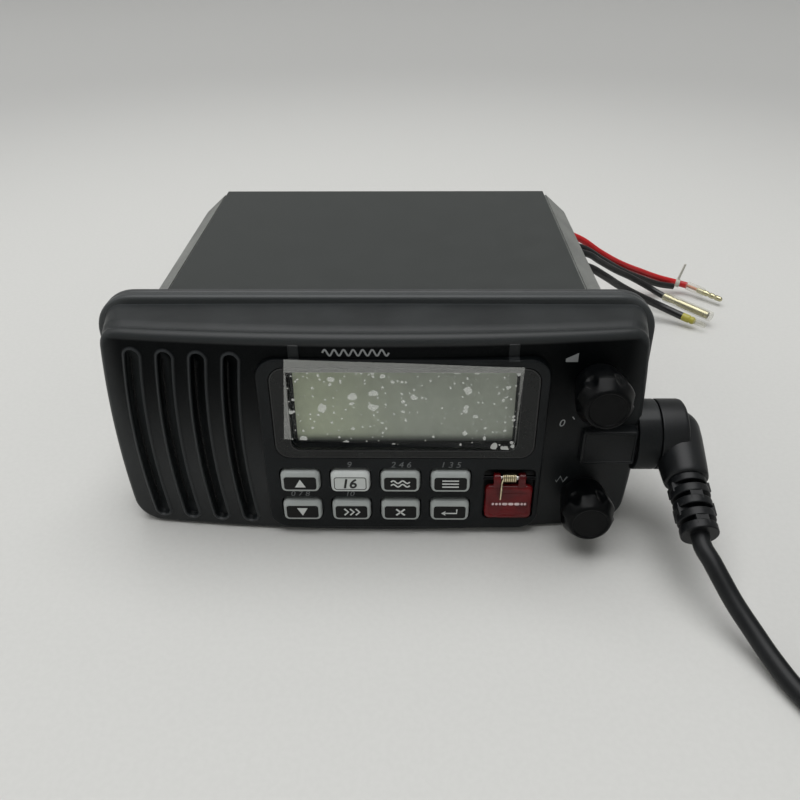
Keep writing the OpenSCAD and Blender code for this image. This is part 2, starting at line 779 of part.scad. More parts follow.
module knob(z) {
    color([0.14, 0.15, 0.15]) translate([knob_x, 0, z]) difference() {
        union() {
            translate([0, knob_back_y, 0]) rotate([90, 0, 0])
                cylinder(d1 = knob_d - knob_draft, d2 = knob_d, h = knob_len - knob_nose, $fn = 72);
            translate([0, knob_back_y - knob_len + knob_nose + eps, 0]) rotate([90, 0, 0])
                cylinder(d1 = knob_d, d2 = knob_face_d + 1, h = knob_nose, $fn = 72);
        }
        rod_y(knob_face_d, knob_front_y - past, knob_front_y + 0.4);
        for (i = [0 : flute_count - 1]) rotate([0, 360 * (i + 0.08) / flute_count, 0])
            translate([knob_d / 2 + 1.4, 0, 0]) rod_y(flute_d, knob_front_y - past, knob_front_y + 7.4, 32);
        rod_y(shaft_d, knob_back_y + past, knob_front_y + 3);
    }
}

module shaft(z) {
    color([0.7, 0.71, 0.72]) translate([knob_x, 0, z]) rod_y(shaft_d, knob_front_y + 3, control_y + shaft_in);
}

module control(z) {
    color([0.35, 0.36, 0.38]) translate([knob_x, 0, z]) difference() {
        union() {
            slab(control_y, control_y + control_len) square(control_w, center = true);
            rod_y(bush_d, control_y + eps, crown_at(knob_x) - 0.6);
        }
        rod_y(shaft_d + 2 * shaft_gap, crown_at(knob_x) - past, control_y + shaft_in + 0.3);
    }
}

module volume_knob() { knob(volume_z); }
module volume_shaft() { shaft(volume_z); }
module volume_control() { control(volume_z); }
module squelch_knob() { knob(squelch_z); }
module squelch_shaft() { shaft(squelch_z); }
module squelch_control() { control(squelch_z); }

// ---------- microphone plug and cord ----------

spigot_d = 11;
spigot_len = 7;
module mic_socket() {
    color([0.2, 0.2, 0.21]) translate([0, plug_y, plug_z]) difference() {
        rod_x(socket_d, socket_x0 + 1, boss_x);
        rod_x(spigot_d, boss_x - spigot_len, boss_x + past);
    }
}

module mic_plug() {
    neck = [arm_x, plug_y, plug_z] + (arm_len - 1.6) * arm_dir;
    color([0.08, 0.09, 0.09]) union() {
        translate([0, plug_y, plug_z]) {
            rod_x(drum_d, boss_x, boss_x + drum_w - 1);
            translate([boss_x + drum_w - 1 - eps, 0, 0]) rotate([0, 90, 0])
                cylinder(d1 = drum_d, d2 = drum_d - 2, h = 1, $fn = 64);
            rod_x(spigot_d, boss_x - spigot_len, boss_x + eps);
        }
        translate([arm_x, plug_y, plug_z]) sphere(d = arm_d, $fn = 48);
        rod_between([arm_x, plug_y, plug_z], neck, arm_d - 0.3, arm_d - 0.9, 48);
        rod_between(neck - 0.1 * arm_dir, relief_start, relief_d + 0.6, relief_d + 0.6, 48);
    }
}

// A core with flanges, joined in turn above and below, and at the sides
module strain_relief() {
    flange_n = 5;
    pitch = relief_len / flange_n;
    color([0.07, 0.07, 0.08]) translate(relief_start) rotate([90 + arm_dip, 0, 0]) {
        cylinder(d = mic_cord_d + 1.6, h = relief_len, $fn = 40);
        for (i = [0 : flange_n - 1]) translate([0, 0, i * pitch + pitch * 0.45])
            cylinder(d = relief_d - 0.25 * i, h = pitch * 0.55, $fn = 48);
        for (i = [0 : flange_n - 1]) intersection() {
            translate([0, 0, i * pitch]) cylinder(d = relief_d - 0.25 * i, h = pitch * 0.45 + eps, $fn = 48);
            rotate([0, 0, 90 * (i % 2)]) translate([-relief_d, -1.7, i * pitch - past])
                cube([2 * relief_d, 3.4, pitch + 2 * past]);
        }
    }
}

module mic_cord() {
    color([0.05, 0.05, 0.05]) tube(mic_route, mic_cord_d, cord_sides);
}

module mic_coil() {
    color([0.05, 0.05, 0.05]) tube(coil_points, mic_cord_d, coil_sides);
}

module mic_cord_end() {
    color([0.05, 0.05, 0.05]) tube(mic_end_route, mic_cord_d, cord_sides);
}

// ---------- fist microphone ----------

// Outline of the microphone at one height, drawn in by inset
module mic_outline(inset, z, h) {
    for (s = [-1, 1], c = mic_circles) translate([mic_x + s * (c[0] - c[2]), mic_y0 + c[1], z])
        cylinder(r = c[2] - inset, h = h, $fn = 48);
}

module mic_screw_places() {
    for (s = [-1, 1], y = mic_screw_y) translate([mic_x + s * 12, mic_y0 + y, 0]) children();
}

module mic_front_case() {
    top = mic_back_t + mic_front_t;
    color([0.09, 0.09, 0.1]) difference() {
        hull() {
            mic_outline(0, mic_back_t, mic_front_t - mic_soft);
            mic_outline(mic_soft / 2, top - mic_soft / 3, eps);
            mic_outline(mic_soft, top - eps, eps);
        }
        difference() {
            hull() mic_outline(mic_wall + 1, mic_back_t - past, mic_front_t - mic_wall - 1 + past);
            mic_screw_places() cylinder(d = mic_post_d, h = top, $fn = 32);
        }
        for (i = [0 : mic_slot_n - 1])
            translate([mic_x - 15, mic_y0 + mic_len - 24 - 3.4 * i, top - mic_wall - 2])
                cube([30, 1.5, 2 * mic_wall + 4]);
        talk_slot();
        translate([mic_x, mic_y0 - past, gland_z]) rotate([-90, 0, 0]) cylinder(d = gland_d, h = 6 + past, $fn = 48);
        mic_screw_places() translate([0, 0, mic_back_t - past]) cylinder(d = 2.2, h = 7 + past, $fn = 24);
    }
}

module mic_back_case() {
    color([0.09, 0.09, 0.1]) difference() {
        hull() {
            mic_outline(mic_soft, 0, eps);
            mic_outline(mic_soft / 2, mic_soft / 3, eps);
            mic_outline(0, mic_soft, mic_back_t - mic_soft);
        }
        difference() {
            hull() mic_outline(mic_wall + 1, mic_wall + 2, mic_back_t);
            mic_screw_places() cylinder(d = mic_post_d, h = mic_back_t, $fn = 32);
        }
        talk_slot();
        translate([mic_x, mic_y0 + hanger_y, -past]) cylinder(d = hanger_d + 1, h = hanger_recess + past, $fn = 48);
        translate([mic_x, mic_y0 - past, gland_z]) rotate([-90, 0, 0]) cylinder(d = gland_d, h = 6 + past, $fn = 48);
        mic_screw_places() translate([0, 0, -past]) cylinder(d = 2.2, h = mic_back_t + 2 * past, $fn = 24);
        mic_screw_places() translate([0, 0, -past]) cylinder(d = 4.4, h = 2 + past, $fn = 32);
    }
}

module talk_box(grow, x0, x1) {
    translate([mic_x - mic_top_w / 2 + x0, talk_y0 - grow, mic_back_t - talk_h / 2 - grow])
        cube([x1 - x0, talk_len + 2 * grow, talk_h + 2 * grow]);
}

// Opening in the left side for the talk bar
module talk_slot() {
    talk_box(talk_gap, -past, 9);
}

// The bar, with a lip inside the case that keeps it in
module mic_talk_bar() {
    color([0.12, 0.12, 0.13]) {
        talk_box(0, -talk_out, 6.2);
        talk_box(1.4, 6.2 - eps, 7.2);
    }
}

module mic_gland() {
    color([0.07, 0.07, 0.08]) translate([mic_x, mic_y0 + 6, gland_z]) rotate([90, 0, 0]) {
        cylinder(d = gland_d, h = 6, $fn = 48);
        translate([0, 0, 6 - eps]) cylinder(d1 = gland_d, d2 = mic_cord_d + 1.6, h = gland_len, $fn = 48);
    }
}

module mic_hanger() {
    color([0.72, 0.72, 0.7]) translate([mic_x, mic_y0 + hanger_y, 0])
        cylinder(d = hanger_d, h = hanger_recess, $fn = 48);
}

module mic_screws() {
    color([0.7, 0.7, 0.7]) mic_screw_places() {
        translate([0, 0, 0.4]) cylinder(d = 4, h = 1.6, $fn = 32);
        translate([0, 0, 2 - eps]) cylinder(d = 2.2, h = mic_back_t + 4, $fn = 24);
    }
}

// ---------- chassis ----------

module chassis_profile(inset, low) {
    polygon([
        [-chassis_w / 2 + inset, low], [chassis_w / 2 - inset, low],
        [chassis_w / 2 - inset, chassis_h - slant_h - inset / 2],
        [chassis_w / 2 - slant_w - inset / 2, chassis_h - inset],
        [-chassis_w / 2 + slant_w + inset / 2, chassis_h - inset],
        [-chassis_w / 2 + inset, chassis_h - slant_h - inset / 2]
    ]);
}

module insert_places() {
    for (s = [0, 1]) mirror([s, 0, 0]) translate([chassis_w / 2, boss_y, boss_z]) children();
}

module chassis_casting() {
    color([0.36, 0.37, 0.37]) difference() {
        union() {
            difference() {
                slab(seam_y, back_y) chassis_profile(0, floor_z);
                slab(seam_y + front_plate_t, back_y - front_plate_t) chassis_profile(cast_wall, floor_z + floor_t);
            }
            // Pad and ribs that the radio stands on
            translate([-underside_pad_w / 2, -underside_pad_len / 2, 0])
                cube([underside_pad_w, underside_pad_len, floor_z + eps]);
            for (s = [-1, 1], i = [0 : rib_count - 1])
                translate([s * (underside_pad_w / 2 + rib_pitch * (i + 0.6)) - rib_w / 2, seam_y + 6, 0])
                    cube([rib_w, chassis_len - 8, floor_z + eps]);
            // Fins on the back
            for (i = [0 : fin_count - 1])
                translate([fin_x + (i - (fin_count - 1) / 2) * fin_pitch - fin_t / 2, back_y - eps, fin_z0])
                    cube([fin_t, fin_depth, fin_z1 - fin_z0]);
            // Bosses for the bracket inserts
            insert_places() rod_x(boss_d, -insert_len - 3, -cast_wall + eps);
        }
        // Seat of the top cover
        translate([-chassis_w / 2 + slant_w - past, seam_y - past, chassis_h - cover_t])
            cube([chassis_w - 2 * slant_w + 2 * past, chassis_len + 2 * past, cover_t + past]);
        // The open top, under the cover
        translate([-chassis_w / 2 + slant_w + cast_wall, seam_y + front_plate_t, chassis_h - cover_t - cast_wall - past])
            cube([chassis_w - 2 * slant_w - 2 * cast_wall, chassis_len - 2 * front_plate_t, cast_wall + 2 * past]);
        // The way through for the wiring to the front
        slab(seam_y - past, seam_y + front_plate_t + past) translate([0, 32]) rounded(64, 30, 4);
        insert_places() rod_x(insert_d + 2 * insert_wall, -insert_len, past);
        translate([antenna_x, 0, antenna_z]) rod_y(antenna_d - 4, back_y - front_plate_t - past, back_y + past);
        translate([grommet_x, 0, grommet_z]) rod_y(grommet_d - 3, back_y - front_plate_t - past, back_y + past);
        post_places() rod_y(screw_d, seam_y - past, seam_y + front_plate_t + past);
        for (x = [-cover_screw_x, cover_screw_x]) translate([x, 0, chassis_h - cover_lip_h / 2 - 2])
            rod_y(screw_d, back_y - 2, back_y + past);
    }
}

module top_cover() {
    color([0.22, 0.23, 0.23]) difference() {
        union() {
            translate([-chassis_w / 2 + slant_w, seam_y, chassis_h - cover_t])
                cube([chassis_w - 2 * slant_w, chassis_len + cover_t, cover_t]);
            translate([-chassis_w / 2 + slant_w, back_y, chassis_h - cover_lip_h])
                cube([chassis_w - 2 * slant_w, cover_t, cover_lip_h]);
        }
        for (x = [-cover_screw_x, cover_screw_x]) translate([x, 0, chassis_h - cover_lip_h / 2 - 2])
            rod_y(screw_d, back_y - past, back_y + cover_t + past);
    }
}

module cover_screws() {
    color([0.7, 0.7, 0.7]) for (x = [-cover_screw_x, cover_screw_x])
        translate([x, 0, chassis_h - cover_lip_h / 2 - 2]) {
            rod_y(screw_d, back_y - 2, back_y + cover_t + eps);
            rod_y(screw_head_d, back_y + cover_t, back_y + cover_t + screw_head_h);
        }
}

module front_screws() {
    color([0.7, 0.7, 0.7]) post_places() {
        rod_y(screw_d, seam_y - 9, seam_y + front_plate_t + eps);
        rod_y(screw_head_d, seam_y + front_plate_t, seam_y + front_plate_t + screw_head_h);
    }
}

module bracket_inserts() {
    color([0.75, 0.62, 0.35]) insert_places() difference() {
        rod_x(insert_d + 2 * insert_wall, -insert_len, 0);
        rod_x(insert_d, -insert_len - past, past);
    }
}

// The main board on its stand-offs, and what it carries
stand_off = 6;
board_z = floor_z + floor_t + stand_off;
main_w = chassis_w - 33;
main_y0 = seam_y + 12;
main_y1 = back_y - 14;
stand_in = 6;
can_size = [52, 40, 10];
can_wall = 0.6;
power_size = [40, 10, 12];
power_tab = [52, 2, 8];
module main_board() {
    color([0.1, 0.3, 0.16]) {
        translate([-main_w / 2, main_y0, board_z]) cube([main_w, main_y1 - main_y0, board_t]);
        for (x = [-1, 1], y = [main_y0 + stand_in, main_y1 - stand_in])
            translate([x * (main_w / 2 - stand_in), y, floor_z + floor_t])
                cylinder(d = 5, h = stand_off + eps, $fn = 32);
    }
}

module shield_can() {
    inner = can_size - [2 * can_wall, 2 * can_wall, can_wall];
    color([0.72, 0.73, 0.74]) translate([10 - main_w / 2, main_y0 + 4, board_z + board_t]) difference() {
        cube(can_size);
        translate([can_wall, can_wall, -past]) cube(inner + [0, 0, past]);
    }
}

module power_module() {
    color([0.14, 0.14, 0.15]) {
        for (size = [power_size, power_tab])
            translate([fin_x - size[0] / 2, back_y - front_plate_t - size[1], board_z + board_t]) cube(size);
    }
}

module antenna_socket() {
    color([0.78, 0.78, 0.76]) translate([antenna_x, 0, antenna_z]) difference() {
        union() {
            slab(back_y, back_y + 1.6) square(24, center = true);
            rod_y(antenna_d, back_y + 1.5, back_y + 14, 64);
            rod_y(antenna_d - 4, back_y - front_plate_t - 3, back_y + eps, 64);
        }
        rod_y(4, back_y + 6, back_y + 14 + past);
    }
}

module lead_grommet() {
    color([0.06, 0.06, 0.07]) translate([grommet_x, 0, grommet_z]) {
        rod_y(grommet_d, back_y, back_y + grommet_out);
        rod_y(grommet_d - 3, back_y - front_plate_t, back_y + eps);
        rod_y(grommet_d, back_y - front_plate_t - 1.5, back_y - front_plate_t + eps);
    }
}

// ---------- rear leads ----------

module red_lead() {
    color([0.72, 0.12, 0.08]) tube(red_route, lead_d, cord_sides);
}

module plain_lead() {
    color([0.05, 0.05, 0.05]) tube(plain_route, thin_lead_d, cord_sides);
}

module black_lead() {
    color([0.05, 0.05, 0.05]) tube(black_route, thin_lead_d, cord_sides);
}

module aux_lead() {
    color([0.05, 0.05, 0.05]) tube(aux_route, aux_lead_d, cord_sides);
}

function mix(a, b, t) = a + (b - a) * t;

// A clear sleeve over the crimp, then the round tip
module red_terminal() {
    a = red_route[len(red_route) - 1];
    color([0.8, 0.76, 0.68]) {
        rod_between(a, mix(a, red_end, 0.5), 4, 4);
        rod_between(mix(a, red_end, 0.49), red_end, 2.4, 2);
    }
}

module black_terminal() {
    a = black_route[len(black_route) - 1];
    color([0.82, 0.82, 0.8]) rod_between(a, black_end, 4.5, 4.5);
}

module aux_terminal() {
    a = aux_route[len(aux_route) - 1];
    color([0.62, 0.58, 0.2]) {
        rod_between(a, mix(a, aux_end, 0.5), 3.4, 3);
        rod_between(mix(a, aux_end, 0.49), aux_end, 2.4, 2.2);
    }
}

// A tie closed round the red lead, with its tail standing up
tie_from = [130.8, 97.35, 5.55];
tie_to = [132.8, 96.83, 5.11];
tie_band = 0.8;
tie_tail = [1.4, 1, 7.5];
module lead_tie() {
    color([0.55, 0.55, 0.55]) {
        difference() {
            rod_between(tie_from, tie_to, lead_d + 2 * tie_band, lead_d + 2 * tie_band);
            rod_between(mix(tie_from, tie_to, -0.2), mix(tie_from, tie_to, 1.2), lead_d, lead_d);
        }
        translate(tie_from + [0.4, -0.5, lead_d / 2 + 0.1]) cube(tie_tail);
    }
}

front_shell();
front_gasket();
grille_cloth();
speaker_frame();
speaker_cone();
display_lens();
lens_film();
lcd_panel();
front_board();
keypad_mat();
key_up();
key_sixteen();
key_channel();
key_menu();
key_down();
key_scan();
key_clear();
key_enter();
distress_cover();
distress_pin();
distress_spring();
distress_key();
volume_knob();
volume_shaft();
volume_control();
squelch_knob();
squelch_shaft();
squelch_control();
mic_socket();
mic_plug();
strain_relief();
mic_cord();
mic_coil();
mic_cord_end();
mic_front_case();
mic_back_case();
mic_talk_bar();
mic_gland();
mic_hanger();
mic_screws();
chassis_casting();
top_cover();
main_board();
shield_can();
power_module();
antenna_socket();
lead_grommet();
bracket_inserts();
cover_screws();
front_screws();
red_lead();
red_terminal();
black_lead();
black_terminal();
aux_lead();
aux_terminal();
plain_lead();
lead_tie();
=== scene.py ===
# %% [markdown]
# A fixed-mount marine radio with its microphone plug, its cord and its rear
# leads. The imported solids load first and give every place. What follows dresses
# them: each cell says what a piece is on the real radio and how it is made here.
# All lengths below are millimetres, and `MM` turns them into Blender's metres.

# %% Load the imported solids
import json
from math import atan2, ceil, cos, degrees, floor, hypot, pi, radians, sin, sqrt
import bmesh
import bpy
import numpy as np
from mathutils import Matrix, Vector
from mathutils.geometry import delaunay_2d_cdt

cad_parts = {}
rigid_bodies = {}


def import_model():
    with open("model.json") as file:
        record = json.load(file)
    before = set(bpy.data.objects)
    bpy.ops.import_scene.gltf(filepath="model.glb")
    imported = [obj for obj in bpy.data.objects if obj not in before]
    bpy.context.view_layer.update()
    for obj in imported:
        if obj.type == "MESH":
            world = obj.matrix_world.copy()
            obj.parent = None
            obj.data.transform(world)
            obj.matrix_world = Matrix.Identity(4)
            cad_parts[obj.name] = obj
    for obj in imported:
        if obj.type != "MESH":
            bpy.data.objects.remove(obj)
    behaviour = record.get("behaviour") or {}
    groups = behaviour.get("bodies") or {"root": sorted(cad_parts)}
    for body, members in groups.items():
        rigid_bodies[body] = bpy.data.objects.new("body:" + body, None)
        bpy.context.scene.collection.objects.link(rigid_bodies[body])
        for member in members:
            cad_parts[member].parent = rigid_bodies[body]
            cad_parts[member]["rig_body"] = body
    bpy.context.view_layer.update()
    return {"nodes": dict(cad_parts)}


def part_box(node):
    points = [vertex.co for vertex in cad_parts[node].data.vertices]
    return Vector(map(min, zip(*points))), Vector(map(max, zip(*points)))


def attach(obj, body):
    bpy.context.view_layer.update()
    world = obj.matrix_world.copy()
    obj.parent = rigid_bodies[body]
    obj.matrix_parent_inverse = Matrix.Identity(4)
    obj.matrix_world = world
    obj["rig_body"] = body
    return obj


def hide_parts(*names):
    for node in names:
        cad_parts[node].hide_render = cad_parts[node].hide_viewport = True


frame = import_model()
nodes = frame["nodes"]
MM = 0.001


def linked(name, data):
    """An object of that data, in the scene."""
    obj = bpy.data.objects.new(name, data)
    bpy.context.scene.collection.objects.link(obj)
    return obj


# %% [markdown]
# The camera stands where the photograph's stood: 156 mm above the table, looking
# down 32 degrees. It comes first, because the unseen cord has to lie outside its
# view. Its matrix is built from three turns, so that each can be read by itself.

# %% Camera
camera_at = Vector((9.68, -243.48, 157.56)) * MM
pitch, yaw, roll = (radians(a) for a in (32.47, -0.93, -0.37))
forward = Vector((sin(yaw) * cos(pitch), cos(yaw) * cos(pitch), -sin(pitch)))
level = Vector((cos(yaw), -sin(yaw), 0))
upright = level.cross(forward)
right = level * cos(roll) + upright * sin(roll)
up = upright * cos(roll) - level * sin(roll)
camera = linked("camera", bpy.data.cameras.new("camera"))
camera.matrix_world = Matrix.Translation(camera_at) @ Matrix((right, up, -forward)).transposed().to_4x4()
camera.data.lens, camera.data.sensor_width = 36, 36
camera.data.clip_start, camera.data.clip_end = 0.005, 20
bpy.context.scene.camera = camera
print("camera at", [round(c, 3) for c in camera_at])

# %% [markdown]
# A shader is easier to read as a sum than as a web of boxes. `Sock` wraps one
# socket, so that `grain * 0.2 + 0.5` adds the Math nodes for it, and `Finish` is
# one material: `add` makes any node, and `places` gives the point in millimetres.

# %% Shader helpers
def rgb(r, g, b):
    """A colour picked in 0-255 screen values, as Blender's linear light."""
    return tuple((c / 255 / 12.92) if c <= 10 else ((c / 255 + 0.055) / 1.055) ** 2.4 for c in (r, g, b)) + (1,)


class Sock:
    """One output of a node. Sums with it add Math nodes to its material."""
    def __init__(self, finish, socket):
        self.finish, self.socket = finish, socket

    def math(self, operation, other=0.0):
        return self.finish.add("ShaderNodeMath", {"operation": operation}, {0: self, 1: other})

    def __add__(self, other): return self.math("ADD", other)
    def __radd__(self, other): return self.math("ADD", other)
    def __sub__(self, other): return self.math("SUBTRACT", other)
    def __rsub__(self, other): return (self * -1) + other
    def __mul__(self, other): return self.math("MULTIPLY", other)
    def __rmul__(self, other): return self.math("MULTIPLY", other)
    def __abs__(self): return self.math("ABSOLUTE")
    def low(self, other): return self.math("MINIMUM", other)
    def high(self, other): return self.math("MAXIMUM", other)
    def clamp(self): return self.high(0).low(1)

    def fade(self, start, end):
        """0 before start, 1 after end, smooth between."""
        node = {"interpolation_type": "SMOOTHSTEP", "clamp": True}
        return self.finish.add("ShaderNodeMapRange", node, {0: self, 1: start, 2: end, 3: 0.0, 4: 1.0})


class Finish:
    """One material, with the Principled shader's inputs put by name."""
    def __init__(self, name, color, roughness, **flat):
        self.material = bpy.data.materials.new(name)
        self.material.use_nodes = True
        self.tree = self.material.node_tree
        self.shader = self.tree.nodes["Principled BSDF"]
        self.put("Base Color", color)
        self.put("Roughness", roughness)
        for key, value in flat.items():
            self.put(key.replace("_", " ").title().replace("Ior", "IOR"), value)

    def put(self, name, value):
        self.feed(self.shader, {name: value})

    def add(self, kind, settings=None, values=None, output=0):
        node = self.tree.nodes.new(kind)
        for key, value in (settings or {}).items():
            setattr(node, key, value)
        return self.feed(node, values or {}, output)

    def feed(self, node, values, output=0):
        """Links or sets each input, and gives one of the outputs."""
        for key, value in values.items():
            if isinstance(value, Sock):
                self.tree.links.new(value.socket, node.inputs[key])
            else:
                node.inputs[key].default_value = value
        return Sock(self, node.outputs[output])

    def point(self):
        return self.add("ShaderNodeTexCoord", output=3)

    def places(self):
        """The point's x, y and z in millimetres."""
        node = self.tree.nodes.new("ShaderNodeSeparateXYZ")
        self.tree.links.new(self.point().socket, node.inputs[0])
        return [Sock(self, o) * 1000 for o in node.outputs]

    def noise(self, size, detail=2, roughness=0.5, stretch=None):
        """Noise whose spots are about size millimetres."""
        point = self.point()
        if stretch:
            point = self.add("ShaderNodeMapping", values={"Vector": point, "Scale": stretch})
        values = {"Vector": point, "Scale": 1000 / size, "Detail": detail, "Roughness": roughness}
        return self.add("ShaderNodeTexNoise", values=values)

    def mix(self, factor, a, b):
        """A colour that goes from a to b."""
        node = self.tree.nodes.new("ShaderNodeMix")
        node.data_type = "RGBA"
        return self.feed(node, {0: factor, 6: a, 7: b}, 2)

    def bump(self, height, depth):
        """Raises the surface by height times depth millimetres."""
        values = {"Strength": 1.0, "Distance": depth * MM, "Height": height}
        self.put("Normal", self.add("ShaderNodeBump", values=values))


def worn(name, color, roughness, grain=0.3, depth=0.012, spread=0.08, tint=0.12, **flat):
    """A moulded or painted finish: fine grain in its relief, slow drift in its colour and gloss."""
    f = Finish(name, color, roughness, **flat)
    slow = f.noise(9, 4, 0.6)
    fine = f.noise(grain, 2, 0.6)
    light = tuple(min(1, c * (1 + tint) + 0.002) for c in color[:3]) + (1,)
    dark = tuple(c * (1 - tint) for c in color[:3]) + (1,)
    f.put("Base Color", f.mix((slow * 0.7 + fine * 0.3).fade(0.35, 0.65), dark, light))
    f.put("Roughness", (slow - 0.5) * spread + (fine - 0.5) * spread * 0.6 + roughness)
    if depth:
        f.bump(fine, depth)
    return f


# %% [markdown]
# Every plain piece is made the same way: a list of corners in millimetres and a
# list of faces. `loft` bridges rings of points, as a ship's hull is planked over
# its frames, and `lathe` turns a profile about an axis, as on a lathe.

# %% Mesh helpers
def loft(rings, cap_first=True, cap_last=True):
    """Bridges rings that have the same number of points, and closes the first and the last."""
    n = len(rings[0])
    verts = [tuple(p) for ring in rings for p in ring]
    faces = [
        (k * n + i, k * n + (i + 1) % n, (k + 1) * n + (i + 1) % n, (k + 1) * n + i)
        for k in range(len(rings) - 1) for i in range(n)
    ]
    if cap_first:
        faces.append(tuple(range(n - 1, -1, -1)))
    if cap_last:
        faces.append(tuple((len(rings) - 1) * n + i for i in range(n)))
    return verts, faces


def hoop(middle, side, other, radius, sides):
    """A ring of points round a middle, in the plane of two directions."""
    return [middle + (side * cos(a) + other * sin(a)) * radius for a in (2 * pi * i / sides for i in range(sides))]


def lathe(profile, origin, axis, sides, caps=True):
    """Profile is (radius, distance along the axis) pairs."""
    axis = Vector(axis).normalized()
    side = axis.orthogonal().normalized()
    other = axis.cross(side)
    return loft([hoop(Vector(origin) + axis * t, side, other, max(r, 1e-5), sides) for r, t in profile], caps, caps)


def merged(*parts):
    verts, faces = [], []
    for v, f in parts:
        start = len(verts)
        verts += list(v)
        faces += [tuple(start + i for i in face) for face in f]
    return verts, faces


def rounded_rect(cx, cz, w, h, r, grow=0.0, steps=6):
    """Points round a rectangle with round corners, counted the same way for any size."""
    w, h, r = w + 2 * grow, h + 2 * grow, max(r + grow, 0.05)
    corners = [(w / 2 - r, -h / 2 + r, -90), (w / 2 - r, h / 2 - r, 0), (-w / 2 + r, h / 2 - r, 90),
               (-w / 2 + r, -h / 2 + r, 180)]
    return [
        (cx + x + r * cos(radians(a + 90 * k / steps)), cz + z + r * sin(radians(a + 90 * k / steps)))
        for x, z, a in corners for k in range(steps + 1)
    ]


def at_y(points, y):
    return [(x, y, z) for x, z in points]


def tidy_mesh(mesh):
    """Merges points that meet, drops empty faces and turns the rest outward."""
    bm = bmesh.new()
    bm.from_mesh(mesh)
    bmesh.ops.remove_doubles(bm, verts=bm.verts, dist=2e-6)
    bmesh.ops.dissolve_degenerate(bm, edges=bm.edges, dist=1e-7)
    bmesh.ops.recalc_face_normals(bm, faces=bm.faces)
    bm.to_mesh(mesh)
    bm.free()


def shaded(obj, angle=40, weighted=True):
    obj.data.shade_smooth()
    obj.data.set_sharp_from_angle(angle=radians(angle))
    if weighted:
        obj.modifiers.new("even", "WEIGHTED_NORMAL").keep_sharp = True
        bake(obj)


def bake(obj):
    """Turns an object's modifiers into its mesh."""
    made = bpy.data.meshes.new_from_object(obj.evaluated_get(bpy.context.evaluated_depsgraph_get()))
    obj.modifiers.clear()
    old, obj.data = obj.data, made
    bpy.data.meshes.remove(old)
    made.name = obj.name


def mesh_object(name, part, finish, extra=()):
    mesh = bpy.data.meshes.new(name)
    mesh.from_pydata([Vector(v) * MM for v in part[0]], [], part[1])
    tidy_mesh(mesh)
    obj = linked(name, mesh)
    for f in (finish, *extra):
        mesh.materials.append(f.material)
    return obj


def placed(obj, body, slot, *stands_for):
    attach(obj, body)
    if stands_for:
        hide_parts(*stands_for)
    print("made", obj.name, "on", body, "in place of" if stands_for else "", *stands_for)
    return obj


def make(name, part, finish, body, slot, *stands_for, angle=40):
    obj = mesh_object(name, part, finish)
    shaded(obj, angle)
    return placed(obj, body, slot, *stands_for)


# %% [markdown]
# The cords are fixed lengths of something bendy, so each is one open curve with a
# round section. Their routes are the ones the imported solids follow. The unseen part
# of the microphone's cord is put away as a neat coil of eight turns, in and out and
# up a layer at each reversal, and goes on to the microphone that lies beside it.

# %% Places that the cords share with the solids
ARM_DIP = 19
ARM_DIR = Vector((0, -cos(radians(ARM_DIP)), -sin(radians(ARM_DIP))))
ARM_X, PLUG_Y, PLUG_Z = 84, -57.3, 28
ARM_LEN, RELIEF_LEN = 16.5, 16
MIC_CORD, RED_LEAD, THIN_LEAD, THICK_LEAD = 4.9, 2.9, 2.75, 3.3
relief_start = Vector((ARM_X, PLUG_Y, PLUG_Z)) + ARM_DIR * ARM_LEN
relief_end = relief_start + ARM_DIR * RELIEF_LEN

LAYERS, LAYER_TURNS, RINGS = 4, 2, 24
TURNS = LAYERS * LAYER_TURNS
COIL_AT, COIL_R, COIL_STEP, COIL_LOW, COIL_CLIMB = (150, -120.5), 32.5, 5.5, 2.45, 0.5


def coil_fold(u):
    m = u % (2 * LAYER_TURNS)
    return m if m <= LAYER_TURNS else 2 * LAYER_TURNS - m


def coil_level(u):
    k = floor(u / LAYER_TURNS + 0.5)
    if k in (0, LAYERS):
        return 0 if k == 0 else LAYERS - 1
    return k - 1 + min(1, max(0, (u - k * LAYER_TURNS) / COIL_CLIMB + 0.5))


def coil_point(u):
    r, a = COIL_R - COIL_STEP * coil_fold(u), radians(360 * u - 90)
    return Vector((COIL_AT[0] + r * cos(a), COIL_AT[1] + r * sin(a), COIL_LOW + COIL_STEP * coil_level(u)))


coil = [coil_point(i / RINGS) for i in range(TURNS * RINGS + 1)]
mic_route = [
    relief_end, relief_end + 3 * ARM_DIR, (85.3, -94.4, 15), (87, -98.4, 12.6), (89.2, -103.2, 9.6),
    (92.2, -109.4, 6.6), (95.4, -117, 4), (98.8, -125, 2.6), (103.5, -134, 2.45), (112, -143.5, 2.45),
    (124, -150, 2.45), (136, -152.6, 2.45), coil[0] - Vector((MIC_CORD, 0, 0)), *coil,
    coil[-1] + Vector((MIC_CORD, 0, 0)), (164, -152.6, 18.2), (178, -150.6, 15.6), (191, -145.6, 14.2),
    (202, -137, 13.9), (209.5, -126, 14), (213.4, -117, 14), (215, -111, 14), (215, -106, 14),
]
red_route = [
    (46, 49, 33), (46.4, 56, 33.6), (49, 66, 35), (57, 78, 36), (70, 86, 34.4), (82, 87, 30.4),
    (92.3, 87.6, 23.6), (102.3, 90, 17.5), (113, 94, 12), (123.1, 97, 7.4), (130.7, 97.4, 5.2), (136, 96, 4.2),
]
plain_route = [
    (42, 49, 33), (42, 57, 32.4), (45, 66, 32), (53, 75, 32.2), (66, 80, 31.8), (82, 79.6, 29.2),
    (91.9, 81.6, 23), (101.9, 86, 16.2), (112.9, 90.8, 10), (121.9, 93, 6.2), (129, 93.6, 4.8),
]
